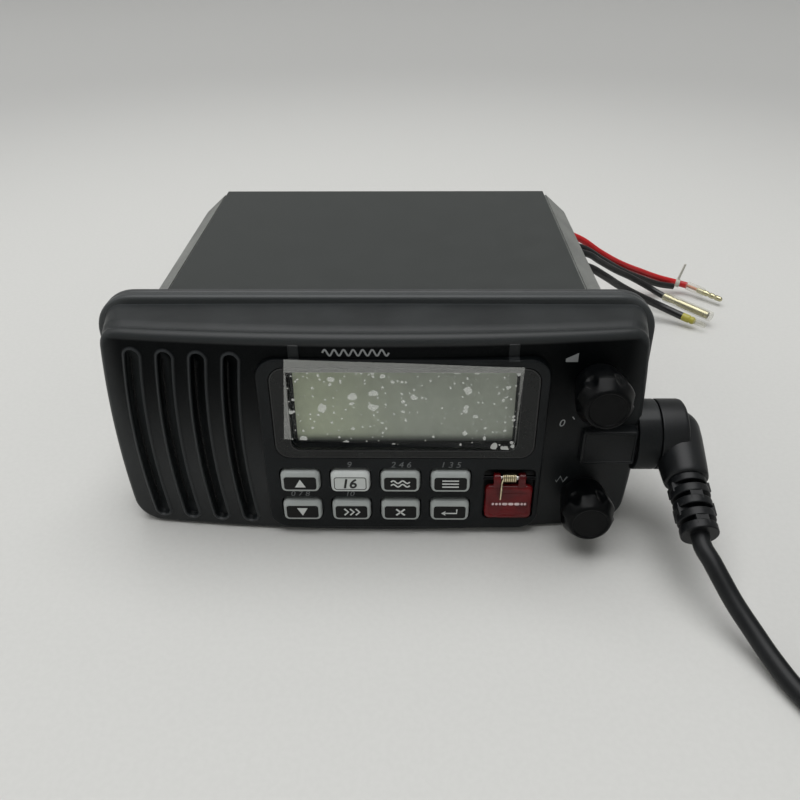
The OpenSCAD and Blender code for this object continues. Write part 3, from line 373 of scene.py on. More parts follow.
black_route = [
    (46, 49, 28.6), (47, 56, 28.6), (53, 65, 29.4), (63, 71.4, 30.6), (74, 73.4, 30.2), (83, 73, 29),
    (89.9, 76, 24.3), (97.8, 80, 18.7), (106.7, 83, 13.6), (114.2, 82.4, 9.6), (117.6, 80.6, 8), (120.4, 78.4, 7),
]
aux_route = [
    (42, 49, 28.6), (42.6, 56, 27.4), (48, 63, 25.8), (59, 67, 26.2), (72, 66, 27.6), (82, 64.4, 26.8),
    (89.6, 64.8, 22.6), (97, 68, 17), (105, 70, 12), (113, 70.4, 8), (119.6, 68, 5.6), (125, 64.4, 4.2),
]
RED_END, BLACK_END, AUX_END = (148, 83, 3), (137, 63.2, 4.4), (133, 57.6, 3)


def long(points):
    return sum((Vector(b) - Vector(a)).length for a, b in zip(points, points[1:]))


print("cords in mm:", [round(long(r)) for r in (mic_route, red_route, plain_route, black_route, aux_route)])

# %% [markdown]
# A cord could be a mesh tube, but a curve with a round bevel stays one open line with
# a thickness, so its length and its bends can be measured. Automatic handles keep
# the line smooth through its points. Black rubber and vinyl are soft, with a sheen.

# %% Cord finishes and curves
cord_black = worn("cord_rubber", rgb(13, 15, 17), 0.42, grain=0.5, depth=0.01, specular_ior_level=0.28)
wire_black = worn("lead_black", rgb(20, 20, 21), 0.3, grain=0.6, depth=0.01)
wire_red = worn("lead_red", rgb(190, 22, 26), 0.3, grain=0.6, depth=0.01, tint=0.06)


def cord_curve(name, points, thickness, finish, steps=4):
    curve = bpy.data.curves.new(name, "CURVE")
    curve.dimensions = "3D"
    spline = curve.splines.new("BEZIER")
    spline.bezier_points.add(len(points) - 1)
    for knot, place in zip(spline.bezier_points, points):
        knot.co = Vector(place) * MM
        knot.handle_left_type = knot.handle_right_type = "AUTO"
    spline.resolution_u = steps
    curve.bevel_depth = thickness / 2 * MM
    curve.bevel_resolution = 4
    curve.use_fill_caps = True
    curve.materials.append(finish.material)
    return linked(name, curve)


mic_cord = placed(cord_curve("microphone_cord", mic_route, MIC_CORD - 0.15, cord_black),
                  "radio", "cord_rubber", "mic_cord", "mic_coil", "mic_cord_end")
leads = {
    name: placed(cord_curve(name, route, thick, finish, 6), "radio", slot, node)
    for name, node, route, thick, finish, slot in (
        ("wire_red", "red_lead", red_route, RED_LEAD, wire_red, "lead_red"),
        ("wire_plain", "plain_lead", plain_route, THIN_LEAD, wire_black, "lead_black"),
        ("wire_black", "black_lead", black_route, THIN_LEAD, wire_black, "lead_black"),
        ("wire_thick", "aux_lead", aux_route, THICK_LEAD, wire_black, "lead_black"),
    )
}

# %% [markdown]
# Each lead ends in its own fitting. A fitting is round, so it is one profile turned
# on a lathe along the lead's last direction. The clear sleeves are separate tubes,
# so that the metal and the bare wire show through them.

# %% Lead ends
tin = worn("crimp_tin", rgb(190, 184, 150), 0.28, grain=0.8, depth=0.02, metallic=1.0)
olive = worn("sleeve_olive", rgb(168, 160, 62), 0.4, grain=0.7)
copper = worn("bare_wire", rgb(190, 120, 90), 0.4, grain=0.5, depth=0.03, metallic=0.6)


def clear(name, color, alpha, roughness=0.12):
    f = Finish(name, color, roughness)
    f.put("Alpha", (f.noise(3, 2) - 0.5) * 0.1 + alpha)
    return f


sleeve = clear("sleeve_clear", rgb(214, 212, 196), 0.24)


def along(a, b):
    a, b = Vector(a), Vector(b)
    return a, (b - a).normalized(), (b - a).length


def fitting(name, a, b, profile, finish, slot, *stands_for):
    start, way, whole = along(a, b)
    part = lathe([(r, t * whole) for r, t in profile], start, way, 40)
    return make(name, part, finish, "radio", slot, *stands_for, angle=50)


red_fit = fitting("red_bullet", red_route[-1], RED_END, [
    (0.9, 0.3), (1.15, 0.34), (1.15, 0.5), (1.2, 0.52), (1.2, 0.6), (0.95, 0.62), (0.95, 0.66), (1.2, 0.68),
    (1.2, 0.76), (0.95, 0.78), (0.95, 0.82), (1.2, 0.84), (1.1, 0.96), (0.7, 1)],
    tin, "socket_nickel", "red_terminal")
red_core = fitting("red_core", red_route[-1], RED_END, [(0.2, 0), (0.7, 0.01), (0.7, 0.33), (0.2, 0.34)],
                   copper, "lead_red")
red_sleeve = fitting("red_sleeve", red_route[-1], RED_END, [
    (1.2, 0), (1.7, 0.01), (1.98, 0.05), (1.98, 0.47), (1.7, 0.5), (1.2, 0.5)], sleeve, "sleeve_clear")
black_fit = fitting("black_crimp", black_route[-1], BLACK_END, [
    (1.3, 0), (1.6, 0.02), (1.6, 0.16), (1.35, 0.18), (1.35, 0.3), (1.6, 0.34), (1.6, 0.92), (1.35, 0.93),
    (1.3, 0.7)], tin, "socket_nickel", "black_terminal")
black_sleeve = fitting("black_sleeve", black_route[-1], BLACK_END, [
    (1.75, 0.0), (2.2, 0.03), (2.22, 0.06), (2.22, 0.99), (2.1, 1), (1.8, 0.99)], sleeve, "sleeve_clear")
aux_fit = fitting("thick_end", aux_route[-1], AUX_END, [
    (1.2, 0), (1.66, 0.02), (1.66, 0.3), (1.3, 0.34), (1.6, 0.4), (1.45, 0.5), (1.1, 0.52), (1, 0.55)],
    olive, "aux_yellow", "aux_terminal")
aux_tip = fitting("thick_tip", aux_route[-1], AUX_END, [
    (0.6, 0.5), (1.1, 0.52), (1.15, 0.9), (0.9, 1), (0.5, 1)], sleeve, "sleeve_clear")

for piece, route, thick, end, extra in (
    (leads["wire_red"], red_route, RED_LEAD, "connector", [red_fit, red_core, red_sleeve]),
    (leads["wire_plain"], plain_route, THIN_LEAD, "bare", []),
    (leads["wire_black"], black_route, THIN_LEAD, "connector", [black_fit, black_sleeve]),
    (leads["wire_thick"], aux_route, THICK_LEAD, "connector", [aux_fit, aux_tip]),
):
    thick * MM

# %% [markdown]
# The tie round the red lead is a closed band with a flat tail. The tail is cut off
# short and stands up, a little bent, so a lofted strip does it.

# %% Cable tie
tie_grey = worn("tie_grey", rgb(196, 196, 186), 0.36, grain=0.4)
TIE_FROM, TIE_TO = (130.9, 97.35, 5.15), (132.7, 96.88, 4.82)
start, way, whole = along(TIE_FROM, TIE_TO)
band = lathe([(1.5, 0), (1.8, 0), (1.9, 0.1), (1.9, whole - 0.1), (1.8, whole), (1.5, whole)], start, way, 40)
TAIL_AT, TAIL_STEPS = (131.9, 96.9, 6.4), 8
tail_rings = []
for k in range(TAIL_STEPS + 1):
    t = k / TAIL_STEPS
    x, y, z = TAIL_AT[0] + 1.9 * t, TAIL_AT[1] - 0.4 * t * t, TAIL_AT[2] + 8.0 * t
    w, h = 0.5 - 0.12 * t, 0.32
    tail_rings.append([(x - w, y - h, z), (x + w, y - h, z), (x + w, y + h, z), (x - w, y + h, z)])
make("cable_tie", merged(band, loft(tail_rings)), tie_grey, "radio", "tie_grey", "lead_tie", angle=30)

# %% [markdown]
# The floor runs up into a round wall in one soft curve, like a shallow bowl, so that no
# hard line shows behind the radio from any side. A big soft lamp above and one low at
# the left give the long soft highlights, and the world fills the shadows. Far from the
# radio the floor is painted darker, as a painted fall-off of the light.

# %% Floor, lamps and world
FLAT_R, COVE_R, WALL_TOP, WALL_SIDES = 1800, 700, 3200, 96
floor_line = [(1, 0), (300, 0), (900, 0), (FLAT_R, 0)]
floor_line += [(FLAT_R + COVE_R * sin(radians(a)), COVE_R * (1 - cos(radians(a)))) for a in range(5, 91, 5)]
floor_line.append((FLAT_R + COVE_R, WALL_TOP))
bowl = [hoop(Vector((0, 0, z)), Vector((1, 0, 0)), Vector((0, 1, 0)), r, WALL_SIDES) for r, z in floor_line]
paper = Finish("paper", rgb(206, 206, 203), 0.75)
x, y, z = paper.places()
# Painted shade: the floor darkens with distance, standing in for the lamps' fall-off
far = (x * x + y * y).math("SQRT").fade(180, 700)
near_tone = paper.mix(paper.noise(1.5, 2).fade(0.3, 0.7), rgb(204, 204, 201), rgb(206, 206, 203))
paper.put("Base Color", paper.mix(far, near_tone, rgb(175, 175, 173)))
ground = mesh_object("floor", loft(bowl, True, False), paper)
ground.data.shade_smooth()


def lamp(name, place, target, width, height, power):
    data = bpy.data.lights.new(name, "AREA")
    data.shape, data.size, data.size_y = "RECTANGLE", width, height
    data.energy = power
    obj = linked(name, data)
    obj.location = place
    obj.rotation_euler = (Vector(target) - Vector(place)).to_track_quat("-Z", "Y").to_euler()


lamp("ceiling", (-0.2, 0.1, 3.0), (0, 0.02, 0), 3.3, 2.8, 93)
lamp("window", (-1.3, 0.1, 0.9), (0, 0, 0.05), 0.9, 0.9, 2)
world = bpy.data.worlds.new("room")
world.use_nodes = True
sky = world.node_tree.nodes["Background"].inputs
sky["Color"].default_value, sky["Strength"].default_value = (0.93, 0.95, 1, 1), 0.13
bpy.context.scene.world = world
bpy.context.scene.view_settings.view_transform = "Standard"

# %% [markdown]
# The front shell is the piece everyone looks at. It is a barrel-shaped body that
# tapers forward, a flange at its rear, a round bead where body and face meet, and a
# curved face. Rings of points, all cast at the same angles, are lofted from the rear
# to the face's edge, so that the bead runs round without a break.

# %% Outlines of the front shell
SEAM_Y, GASKET, FLANGE_Y, APEX_Y, PAD_Y = -45, 2.2, -50.1, -67.3, -68.0
CROWN_R = 520
FLANGE_W, FLANGE_H, FLANGE_R = 151.6, 67, 10.5
MIDDLE = Vector((0, 32))


def crown(x):
    return APEX_Y + CROWN_R - sqrt(CROWN_R * CROWN_R - x * x)


def arc(x, z, r, a0, a1, n=8):
    return [(x + r * cos(radians(a0 + (a1 - a0) * i / n)),
             z + r * sin(radians(a0 + (a1 - a0) * i / n))) for i in range(n + 1)]


def barrel(w, low, top, r_low, r_top, bulge, arch):
    """Outline with bulged ends and an arched top, counter-clockwise from the low middle."""
    end_top = top - arch
    zc, h = (low + end_top) / 2, end_top - low
    r = (h * h / 4 + bulge * bulge) / (2 * bulge)
    xc = w / 2 - r
    xl = xc + sqrt((r - r_low) ** 2 - (low + r_low - zc) ** 2)
    xt = xc + sqrt((r - r_top) ** 2 - (end_top - r_top - zc) ** 2)
    al = degrees(atan2(low + r_low - zc, xl - xc))
    at = degrees(atan2(end_top - r_top - zc, xt - xc))
    half = arc(xl, low + r_low, r_low, -90, al, 16) + arc(xc, zc, r, al, at, 24)
    half += arc(xt, end_top - r_top, r_top, at, 90, 16)
    half += [(xt * (1 - i / 30), top - arch * (1 - i / 30) ** 2) for i in range(1, 31)]
    return half + [(-x, z) for x, z in reversed(half[:-1])]


def dense(points, step):
    out = []
    for a, b in zip(points, points[1:] + points[:1]):
        a, b = Vector(a), Vector(b)
        n = max(1, ceil((b - a).length / step))
        out += [a.lerp(b, i / n) for i in range(n)]
    return out


def cast(points, angles):
    """Where rays from the middle at these angles meet an outline."""
    fine = dense(list(points), 0.25)
    turn = np.array([atan2(p.y - MIDDLE.y, p.x - MIDDLE.x) for p in fine])
    reach = np.array([(p - MIDDLE).length for p in fine])
    order = np.argsort(turn)
    reach = np.interp(angles, turn[order], reach[order], period=2 * pi)
    return np.array([[MIDDLE.x + r * cos(a), MIDDLE.y + r * sin(a)] for r, a in zip(reach, angles)])


REAR = barrel(148.4, 0.5, 65, 7.5, 5, 1.8, 0.2)
FRONT = barrel(143.2, 0.5, 63.6, 7.5, 5, 1.8, 1.2)
CORNERS = (-66, 6), (66, 6), (-67, 59), (67, 59)
angles = [atan2(p.y - MIDDLE.y, p.x - MIDDLE.x) for p in dense(FRONT, 1.6)]
for cx, cz in CORNERS:
    middle = atan2(cz - MIDDLE.y, cx - MIDDLE.x)
    angles += list(np.linspace(middle - 0.09, middle + 0.09, 25))
angles = np.array(sorted(set(round(a, 5) for a in angles)))
rear, front = cast(REAR, angles), cast(FRONT, angles)
flange = cast(rounded_rect(0, FLANGE_H / 2, FLANGE_W, FLANGE_H, FLANGE_R, 0, 16), angles)
rim = cast(rounded_rect(0, 33.0, 135, 63.6, 4.5, 0, 10), angles)
print("points round the shell:", len(angles))


def outward(ring):
    step = np.roll(ring, -1, 0) - np.roll(ring, 1, 0)
    normal = np.stack([step[:, 1], -step[:, 0]], 1)
    return normal / np.linalg.norm(normal, axis=1, keepdims=True)


flange_out, body_out = outward(flange), outward(front)


def flange_ring(grow, y):
    return [(x, y, z) for x, z in flange + flange_out * grow]


def wall_ring(y, grow=0.0):
    """The body's wall at y, drawn in or out."""
    t = (y - FLANGE_Y) / (APEX_Y - FLANGE_Y)
    return [(x, float(yy), z) for (x, z), yy in zip(rear + (front - rear) * np.reshape(t, (-1, 1)) + body_out * grow,
                                                    np.broadcast_to(y, len(angles)))]


# The edge where wall and face meet, and the bead's radius there, larger on top
edge_y = np.full(len(angles), APEX_Y, float)
for _ in range(4):
    t = (edge_y - FLANGE_Y) / (APEX_Y - FLANGE_Y)
    edge_y = np.array([crown(x) for x in (rear[:, 0] + (front[:, 0] - rear[:, 0]) * t)])
upward = np.clip(body_out[:, 1] * 0.5 + 0.5, 0, 1)
BEAD_LOW, BEAD_TOP = 0.9, 2.0
bead = BEAD_LOW + (BEAD_TOP - BEAD_LOW) * upward ** 2
edge = np.array(wall_ring(edge_y))
wall_back = np.array(wall_ring(edge_y + 1)) - edge
wall_back /= np.linalg.norm(wall_back, axis=1, keepdims=True)
inward = np.stack([-body_out[:, 0], np.zeros(len(angles)), -body_out[:, 1]], 1)
inward[:, 1] = [(crown(x + dx * 0.5) - crown(x)) / 0.5 for x, dx in zip(edge[:, 0], inward[:, 0])]
inward /= np.linalg.norm(inward, axis=1, keepdims=True)


def bead_ring(turn):
    """A quarter turn from the wall (0) to the face (90)."""
    a = radians(turn)
    b = bead[:, None]
    return edge + b * wall_back + b * inward - b * (inward * cos(a) + wall_back * sin(a))


def groove_ring(back, deep):
    return edge + (bead + back)[:, None] * wall_back + inward * (deep * (0.35 + 0.65 * upward))[:, None]


def hollow_ring(y, wide, high):
    """A ring inside the shell, drawn in from the rim."""
    return [(x * wide, y, MIDDLE.y + (z - MIDDLE.y) * high) for x, z in rim]


shell_rings = [
    hollow_ring(-58.5, 0.9, 0.9), hollow_ring(-57, 0.97, 0.96), hollow_ring(SEAM_Y, 0.97, 0.96),
    at_y(rim, SEAM_Y), at_y(rim, SEAM_Y - GASKET),
    flange_ring(-0.5, SEAM_Y - GASKET), flange_ring(-0.14, SEAM_Y - GASKET - 0.14),
    flange_ring(0, SEAM_Y - GASKET - 0.5),
    flange_ring(0, FLANGE_Y + 1.1), flange_ring(-0.2, FLANGE_Y + 0.45), flange_ring(-0.62, FLANGE_Y + 0.1),
    flange_ring(-1.1, FLANGE_Y),
    wall_ring(FLANGE_Y - 0.05, -0.05), wall_ring(FLANGE_Y - 0.9, -0.06), wall_ring(FLANGE_Y - 1.6, 0),
    wall_ring(-54, 0), groove_ring(4.6, 0), groove_ring(3.4, 0), groove_ring(2.4, 0.3), groove_ring(1.5, 0.45),
    groove_ring(0.8, 0.36), groove_ring(0.35, 0.08), *[bead_ring(a) for a in range(0, 91, 15)],
]
shell_rings = [[tuple(map(float, p)) for p in ring] for ring in shell_rings]
print("rings:", len(shell_rings), "edge at y", edge_y.min().round(1), edge_y.max().round(1))

# %% [markdown]
# The face is one height map: every line on it, such as a slot's lip or the edge of a
# key's well, is a closed contour with a height of its own. A Delaunay triangulation
# that keeps these lines joins them, so each step and lip is real geometry.

# %% The face's contours
lines = []


def contour(points, depth, step=1.6):
    """A closed line; depth is a number below the curved face, or a function of x and z that gives y."""
    fine = dense(list(points), step)
    y = [depth(p.x, p.y) if callable(depth) else crown(p.x) + depth for p in fine]
    lines.append([(p.x, v, p.y) for p, v in zip(fine, y)])


def flat(y):
    return lambda x, z: y


SLOTS, SLOT_X, SLOT_PITCH, SLOT_W = 4, -66.2, 8.7, 3.6
SLOT_R, SLOT_MID, SLOT_LOW, SLOT_TOP = 190, 30.5, 3.4, 58.2


def slot_edge(x, z):
    return x + SLOT_R - sqrt(SLOT_R ** 2 - (z - SLOT_MID) ** 2)


def slot_outline(index, grow):
    w = SLOT_W + 2 * grow
    x, low, high = SLOT_X + index * SLOT_PITCH - grow, SLOT_LOW - grow + w / 2, SLOT_TOP + grow - w / 2
    up_side = [low + (high - low) * i / 24 for i in range(25)]
    out = [(slot_edge(x, z) + w, z) for z in up_side]

    def end(z, first, last):
        return [(slot_edge(x, z) + w / 2 * (1 + cos(a)), z + w / 2 * sin(a)) for a in np.linspace(first, last, 9)]

    return out + end(high, 0.25, 2.9) + [(slot_edge(x, z), z) for z in reversed(up_side)] + end(low, 3.4, 6.03)


def slot_floor(index, left, right):
    def y(x, z):
        t = min(1, max(0, (x - slot_edge(SLOT_X + index * SLOT_PITCH, z)) / SLOT_W))
        ends = min(1, max(0, (z - SLOT_LOW) / 4), max(0, (SLOT_TOP - z) / 4))
        return crown(x) + (left + (right - left) * t) * (0.55 + 0.45 * ends)
    return y


for i in range(SLOTS):
    for grow, rise in ((1.05, 0), (0.8, 0.2), (0.55, 0.46), (0.3, 0.54), (0.08, 0.34), (-0.06, -0.15)):
        contour(slot_outline(i, grow), -rise)
    contour(slot_outline(i, -0.2), slot_floor(i, 1.7, 0.9))
    contour(slot_outline(i, -0.4), slot_floor(i, 3.0, 1.5))

PAD_X, PAD_MID, PAD_W, PAD_H, PAD_R = 7.6, 29.9, 76.2, 55.8, 5.5
for grow, y in ((0, None), (-0.05, PAD_Y + 0.5), (-0.16, PAD_Y + 0.2), (-0.4, PAD_Y + 0.03), (-0.7, PAD_Y)):
    contour(rounded_rect(PAD_X, PAD_MID, PAD_W, PAD_H, PAD_R, grow, 10), flat(y) if y else 0)


def well(cx, cz, w, h, r, levels):
    for grow, y in levels:
        contour(rounded_rect(cx, cz, w, h, r, grow, 6), flat(y))


LENS = (8, 41.2, 70, 28.2, 4)
WINDOW = (7.8, 41.9, 60.6, 24.3, 2.5)
POCKET_Y = -64.5
well(*LENS, [(0.42, PAD_Y), (0.2, PAD_Y + 0.12), (0.14, PAD_Y + 1.5)])
well(*WINDOW, [(0, PAD_Y + 1.5), (-0.06, POCKET_Y + 0.05)])
KEY_W, KEY_H, KEY_R = 11.3, 7.6, 1.7
KEY_X, KEY_Z, KEY_DX, KEY_DZ = -21, 19.7, 13.9, 10.2
for column in range(4):
    for row in range(2):
        well(KEY_X + column * KEY_DX, KEY_Z - row * KEY_DZ, KEY_W, KEY_H, KEY_R,
             [(0.34, PAD_Y), (0.16, PAD_Y + 0.1), (0.1, PAD_Y + 0.3), (0.06, PAD_Y + 3.2)])
GUARD_X, RECESS_Y = 37.1, -65.4
RECESS = (GUARD_X, 14.55, 14.2, 17.3, 1.6)
well(*RECESS, [(0.3, PAD_Y), (0.05, PAD_Y + 0.12), (-0.02, PAD_Y + 0.4), (-0.1, RECESS_Y)])
BLOCK = (63.7, 28.95, 15.4, 11.1, 1.2)
BLOCK_Y = -66.0
contour(rounded_rect(*BLOCK, 0), 0)
BLOCK_EDGE = (-0.08, 0.7), (-0.35, 0.15), (-0.7, 0), (-0.85, 0), (-1.05, 0.14), (-1.15, 0.34)
well(*BLOCK, [(grow, BLOCK_Y + back) for grow, back in BLOCK_EDGE])
STRIP_X, STRIP_W = (-20.15, 35.8), 2.8
for x in STRIP_X:
    for grow, rise in ((0, 0), (-0.12, 0.16), (-0.35, 0.2)):
        contour(rounded_rect(x, 59.55, STRIP_W, 3.7, 0.2, grow, 2), -rise, 0.8)
print("contours:", len(lines), "points:", sum(len(l) for l in lines))

# %% [markdown]
# Between the contours the face is only gently crowned. A loose grid of free points
# carries that curve, and keeps away from the contours, where it would crowd them. The
# triangulation gives each of its points the source point, and with it the height.

# %% The face's mesh
boundary = shell_rings[-1]
flat_points, heights, edges = [], [], []
for line in [boundary] + lines:
    n, base = len(line), len(flat_points)
    flat_points += [Vector((p[0], p[2])) for p in line]
    heights += [p[1] for p in line]
    edges += [(base + i, base + (i + 1) % n) for i in range(n)]
kept = np.array([tuple(p) for p in flat_points])
grid = [(x, z) for x in np.arange(-69, 70, 3.1) for z in np.arange(4, 62, 5.7)]
edge_reach = [hypot(p[0], p[2] - MIDDLE.y) for p in boundary]
for x, z in grid:
    inside_pad = abs(x - PAD_X) < PAD_W / 2 + 0.4 and abs(z - PAD_MID) < PAD_H / 2 + 0.4
    inside_block = abs(x - BLOCK[0]) < 8.6 and abs(z - BLOCK[1]) < 6.4
    from_slots = [x - slot_edge(SLOT_X + i * SLOT_PITCH, z) for i in range(SLOTS)]
    in_slot = any(-0.5 < away < SLOT_W + 0.5 for away in from_slots) and SLOT_LOW - 1 < z < SLOT_TOP + 1
    near = np.min(np.hypot(kept[:, 0] - x, kept[:, 1] - z)) < 1.0
    reach = np.interp(atan2(z - MIDDLE.y, x - MIDDLE.x), angles, edge_reach)
    if not (inside_pad or inside_block or in_slot or near) and hypot(x, z - MIDDLE.y) < reach - 1:
        flat_points.append(Vector((x, z)))
        heights.append(crown(x))
out_points, _, out_faces, origin, _, _ = delaunay_2d_cdt(flat_points, edges, [], 1, 1e-4)
face_verts = []
for p, source in zip(out_points, origin):
    y = heights[source[0]] if source else crown(p.x)
    face_verts.append((p.x, y, p.y))
face_part = (face_verts, [tuple(f) for f in out_faces])
print("face:", len(face_verts), "points,", len(out_faces), "triangles, made anew:", sum(not s for s in origin))

# %% [markdown]
# Moulded plastic of this kind is not one black. Its texture scatters a little light.
# Light and shade are painted into its colour: painted shade darkens the face's upper
# part, where the coat is thinner, as on the pad; the walls and top band get a lighter
# lit tone; the bead's top, the slots' lips and the flange get painted highlights, and
# the strips and the flange are a little smoother.

# %% Plastic of the shell
shell_plastic = Finish("shell_plastic", rgb(24, 27, 28), 0.5, specular_ior_level=0.05, coat_roughness=0.42)
grain = shell_plastic.noise(0.42, 3, 0.65)
drift = shell_plastic.noise(14, 3, 0.5)
x, y, z = shell_plastic.places()
fine_tone = shell_plastic.mix((drift * 0.45 + grain * 0.55).fade(0.36, 0.66), rgb(15, 18, 19), rgb(27, 30, 32))
# Painted light: the walls and top band get this lighter tone, as if lit from above
wall_lit_tone = shell_plastic.mix(drift.fade(0.3, 0.7), rgb(28, 31, 32), rgb(38, 41, 42))
on_face = 1 - y.fade(-63.2, -62.2)
on_pad = 1 - y.fade(-67.95, -67.75)
# Painted highlight on the slots' raised lips, from the mark made below
lip_highlight = shell_plastic.add("ShaderNodeAttribute", {"attribute_name": "raised"}, output=2)
# Painted shade: darkens the face's upper part, less on the slots' lips
shade = on_face * (1 - on_pad) * z.fade(14, 56) * (1 - z.fade(60.8, 61.6)) * (1 - lip_highlight * 0.7)
strip = 1 - abs(x + -STRIP_X[0]).low(abs(x - STRIP_X[1])).fade(1.3, 1.42)
strip = strip * z.fade(57.2, 57.3) * (1 - z.fade(61.4, 61.7)) * (1 - y.fade(-65.6, -65.2))
# Painted highlight on the flange behind the body
flange_highlight = y.fade(-51.0, -50.2)
tone = shell_plastic.mix(on_face, wall_lit_tone, fine_tone)
for where, color in (
    # Painted shade on the upper face, then painted highlights on the bead's top and the slots' lips
    (shade * 0.9, rgb(3, 5, 6)), (on_face * z.fade(61.2, 62.2), rgb(36, 39, 40)), (lip_highlight * 0.9, rgb(46, 49, 51)),
    (strip, rgb(40, 42, 43)), (flange_highlight, rgb(59, 62, 63)),
):
    tone = shell_plastic.mix(where, tone, color)
shell_plastic.put("Base Color", tone)
shell_plastic.put("Coat Weight", 0.6 - shade * 0.58 - on_pad * 0.36)
uneven = 0.44 - strip * 0.1 - flange_highlight * 0.06 + (drift - 0.5) * 0.12 + (grain - 0.5) * 0.14
shell_plastic.put("Roughness", uneven)
shell_plastic.bump(grain, 0.085)

boss = lathe([(6, 71.5), (9.6, 71.5), (9.8, 71.58), (9.95, 71.8), (9.95, 77.2), (9.8, 77.6), (9.4, 77.8), (6, 77.8)],
             (0, PLUG_Y, PLUG_Z), (1, 0, 0), 96)
shell = make("front_shell_skin", merged(loft(shell_rings, True, False), face_part, boss), shell_plastic,
             "radio", "shell_plastic", "front_shell", angle=38)
# The slots' lips stand up to 0.54 mm above the face: the mark tells the shader how much, and it paints a highlight
# there
raised = shell.data.attributes.new("raised", "FLOAT", "POINT")
for v, mark in zip(shell.data.vertices, raised.data):
    lift = crown(v.co.x / MM) - v.co.y / MM
    mark.value = max(0, min(1, lift / 0.3 - 0.3)) if v.co.x / MM < -24 and 0.08 < lift < 0.7 else 0
print("front shell:", len(shell.data.polygons), "faces")

# %% [markdown]
# The gasket is soft rubber squeezed between flange and casting, so its rim bulges a
# little. It is lofted as a ring: out along its back, round its rim and in again.

# %% Gasket
rubber = worn("gasket_rubber", rgb(57, 59, 60), 0.44, grain=0.4, depth=0.02)
GASKET_RIM = (-0.6, 0), (-0.15, -0.08), (0, -0.35), (0.03, -0.9), (0, -1.75), (-0.2, -2.08), (-0.6, -2.16)
inner_edge = rim + outward(rim) * 0.02
gasket_rings = [at_y(inner_edge, SEAM_Y), *[flange_ring(grow - 0.08, SEAM_Y + y) for grow, y in GASKET_RIM],
                at_y(inner_edge, SEAM_Y - 2.16), at_y(inner_edge, SEAM_Y)]
make("flange_gasket", loft(gasket_rings, False, False), rubber, "radio", "gasket_rubber", "front_gasket",
     angle=50)

# %% [markdown]
# The lens is one clear plate printed dark round its edge. Printed border and clear
# window are two pieces here, so each has its own plain finish: opaque and glossy, or
# nearly invisible with a gloss. A thin black line runs round both edges.

# %% Display lens
lens_dark = worn("lens_border", rgb(19, 21, 21), 0.24, grain=1.2, depth=0.004, spread=0.05,
                 specular_ior_level=0.28)
line_black = worn("line_black", rgb(6, 7, 8), 0.3, grain=1, depth=0)
window_clear = clear("window_clear", rgb(60, 62, 60), 0.02, 0.06)


def plate(outline, y_front, y_back, soft=0.12):
    """A flat plate with a small rounded front edge. outline(grow) gives its points."""
    return loft([at_y(outline(0), y_back), at_y(outline(0), y_front + soft),
                 at_y(outline(-soft * 0.3), y_front + soft * 0.3), at_y(outline(-soft), y_front)])


def frame_plate(outer, inner, y_front, y_back, soft=0.12):
    """A plate with a hole, open where its first and last ring meet."""
    return loft([at_y(inner(0), y_back), at_y(outer(0), y_back), at_y(outer(0), y_front + soft),
                 at_y(outer(-soft), y_front), at_y(inner(soft), y_front), at_y(inner(0), y_front + soft),
                 at_y(inner(0), y_back)], False, False)


def edge_of(shape, extra=0.0):
    """The outline of a shape, to be grown by the plate that uses it."""
    return lambda grow: rounded_rect(*shape, grow + extra, 12)


LENS_Y = PAD_Y + 0.02
lens_ring = frame_plate(edge_of(LENS), edge_of(WINDOW), LENS_Y, PAD_Y + 1.45)
lens_pane = plate(edge_of(WINDOW, -0.01), LENS_Y + 0.02, PAD_Y + 1.4, 0.05)
thin_lines = merged(*[
    frame_plate(edge_of(shape, outer), edge_of(shape, inner), LENS_Y - 0.02, LENS_Y + 0.03, 0.005)
    for shape, outer, inner in ((WINDOW, 0.42, 0.16), (LENS, -0.05, -0.4))
])
make("lens_border", lens_ring, lens_dark, "radio", "lens_clear", "display_lens")
make("lens_window", lens_pane, window_clear, "radio", "lens_clear", "display_lens")
make("lens_lines", thin_lines, line_black, "radio", "lens_clear")

# %% [markdown]
# Under the clear window lies the display glass. Its light comes in from one side, so
# its colour is painted to drift from a greenish left to a greyer right, and painted
# shade greys it below.

# %% Display glass
lcd = Finish("lcd_glass", rgb(128, 134, 120), 0.35)
x, y, z = lcd.places()
side = x.fade(-22, 14)
lcd_tint = lcd.mix(side, rgb(188, 197, 170), rgb(170, 177, 164))
# Painted shade: the glass greys towards its bottom edge
lcd.put("Base Color", lcd.mix(z.fade(30.2, 33.2), rgb(76, 80, 78), lcd_tint))
lcd.put("Roughness", lcd.noise(5, 2) * 0.08 + 0.3)
GLASS, GLASS_BACK, OPENING = (8, 42, 63, 26, 0.8), -61.3, (8.0, 41.8, 58.6, 22.6, 0.6)
glass = plate(lambda grow: rounded_rect(*GLASS, grow, 4), POCKET_Y, GLASS_BACK, 0.1)
make("lcd_glass", glass, lcd, "radio", "lcd_grey", "lcd_panel")
dark_frame = worn("lcd_surround", rgb(30, 32, 32), 0.5, grain=0.6, depth=0.004)
surround = frame_plate(edge_of(WINDOW, -0.02), edge_of(OPENING), POCKET_Y - 0.03, POCKET_Y + 0.3, 0.02)
make("lcd_surround", surround, dark_frame, "radio", "lcd_grey")

# %% [markdown]
# A thin protective film still sticks to the lens, a little askew. It has lifted along
# its top and left, where it looks pale, and air bubbles show as light flecks, close
# together at the right. The film is a rippled sheet, and its flecks are an alpha mask
# with a faint painted glow.

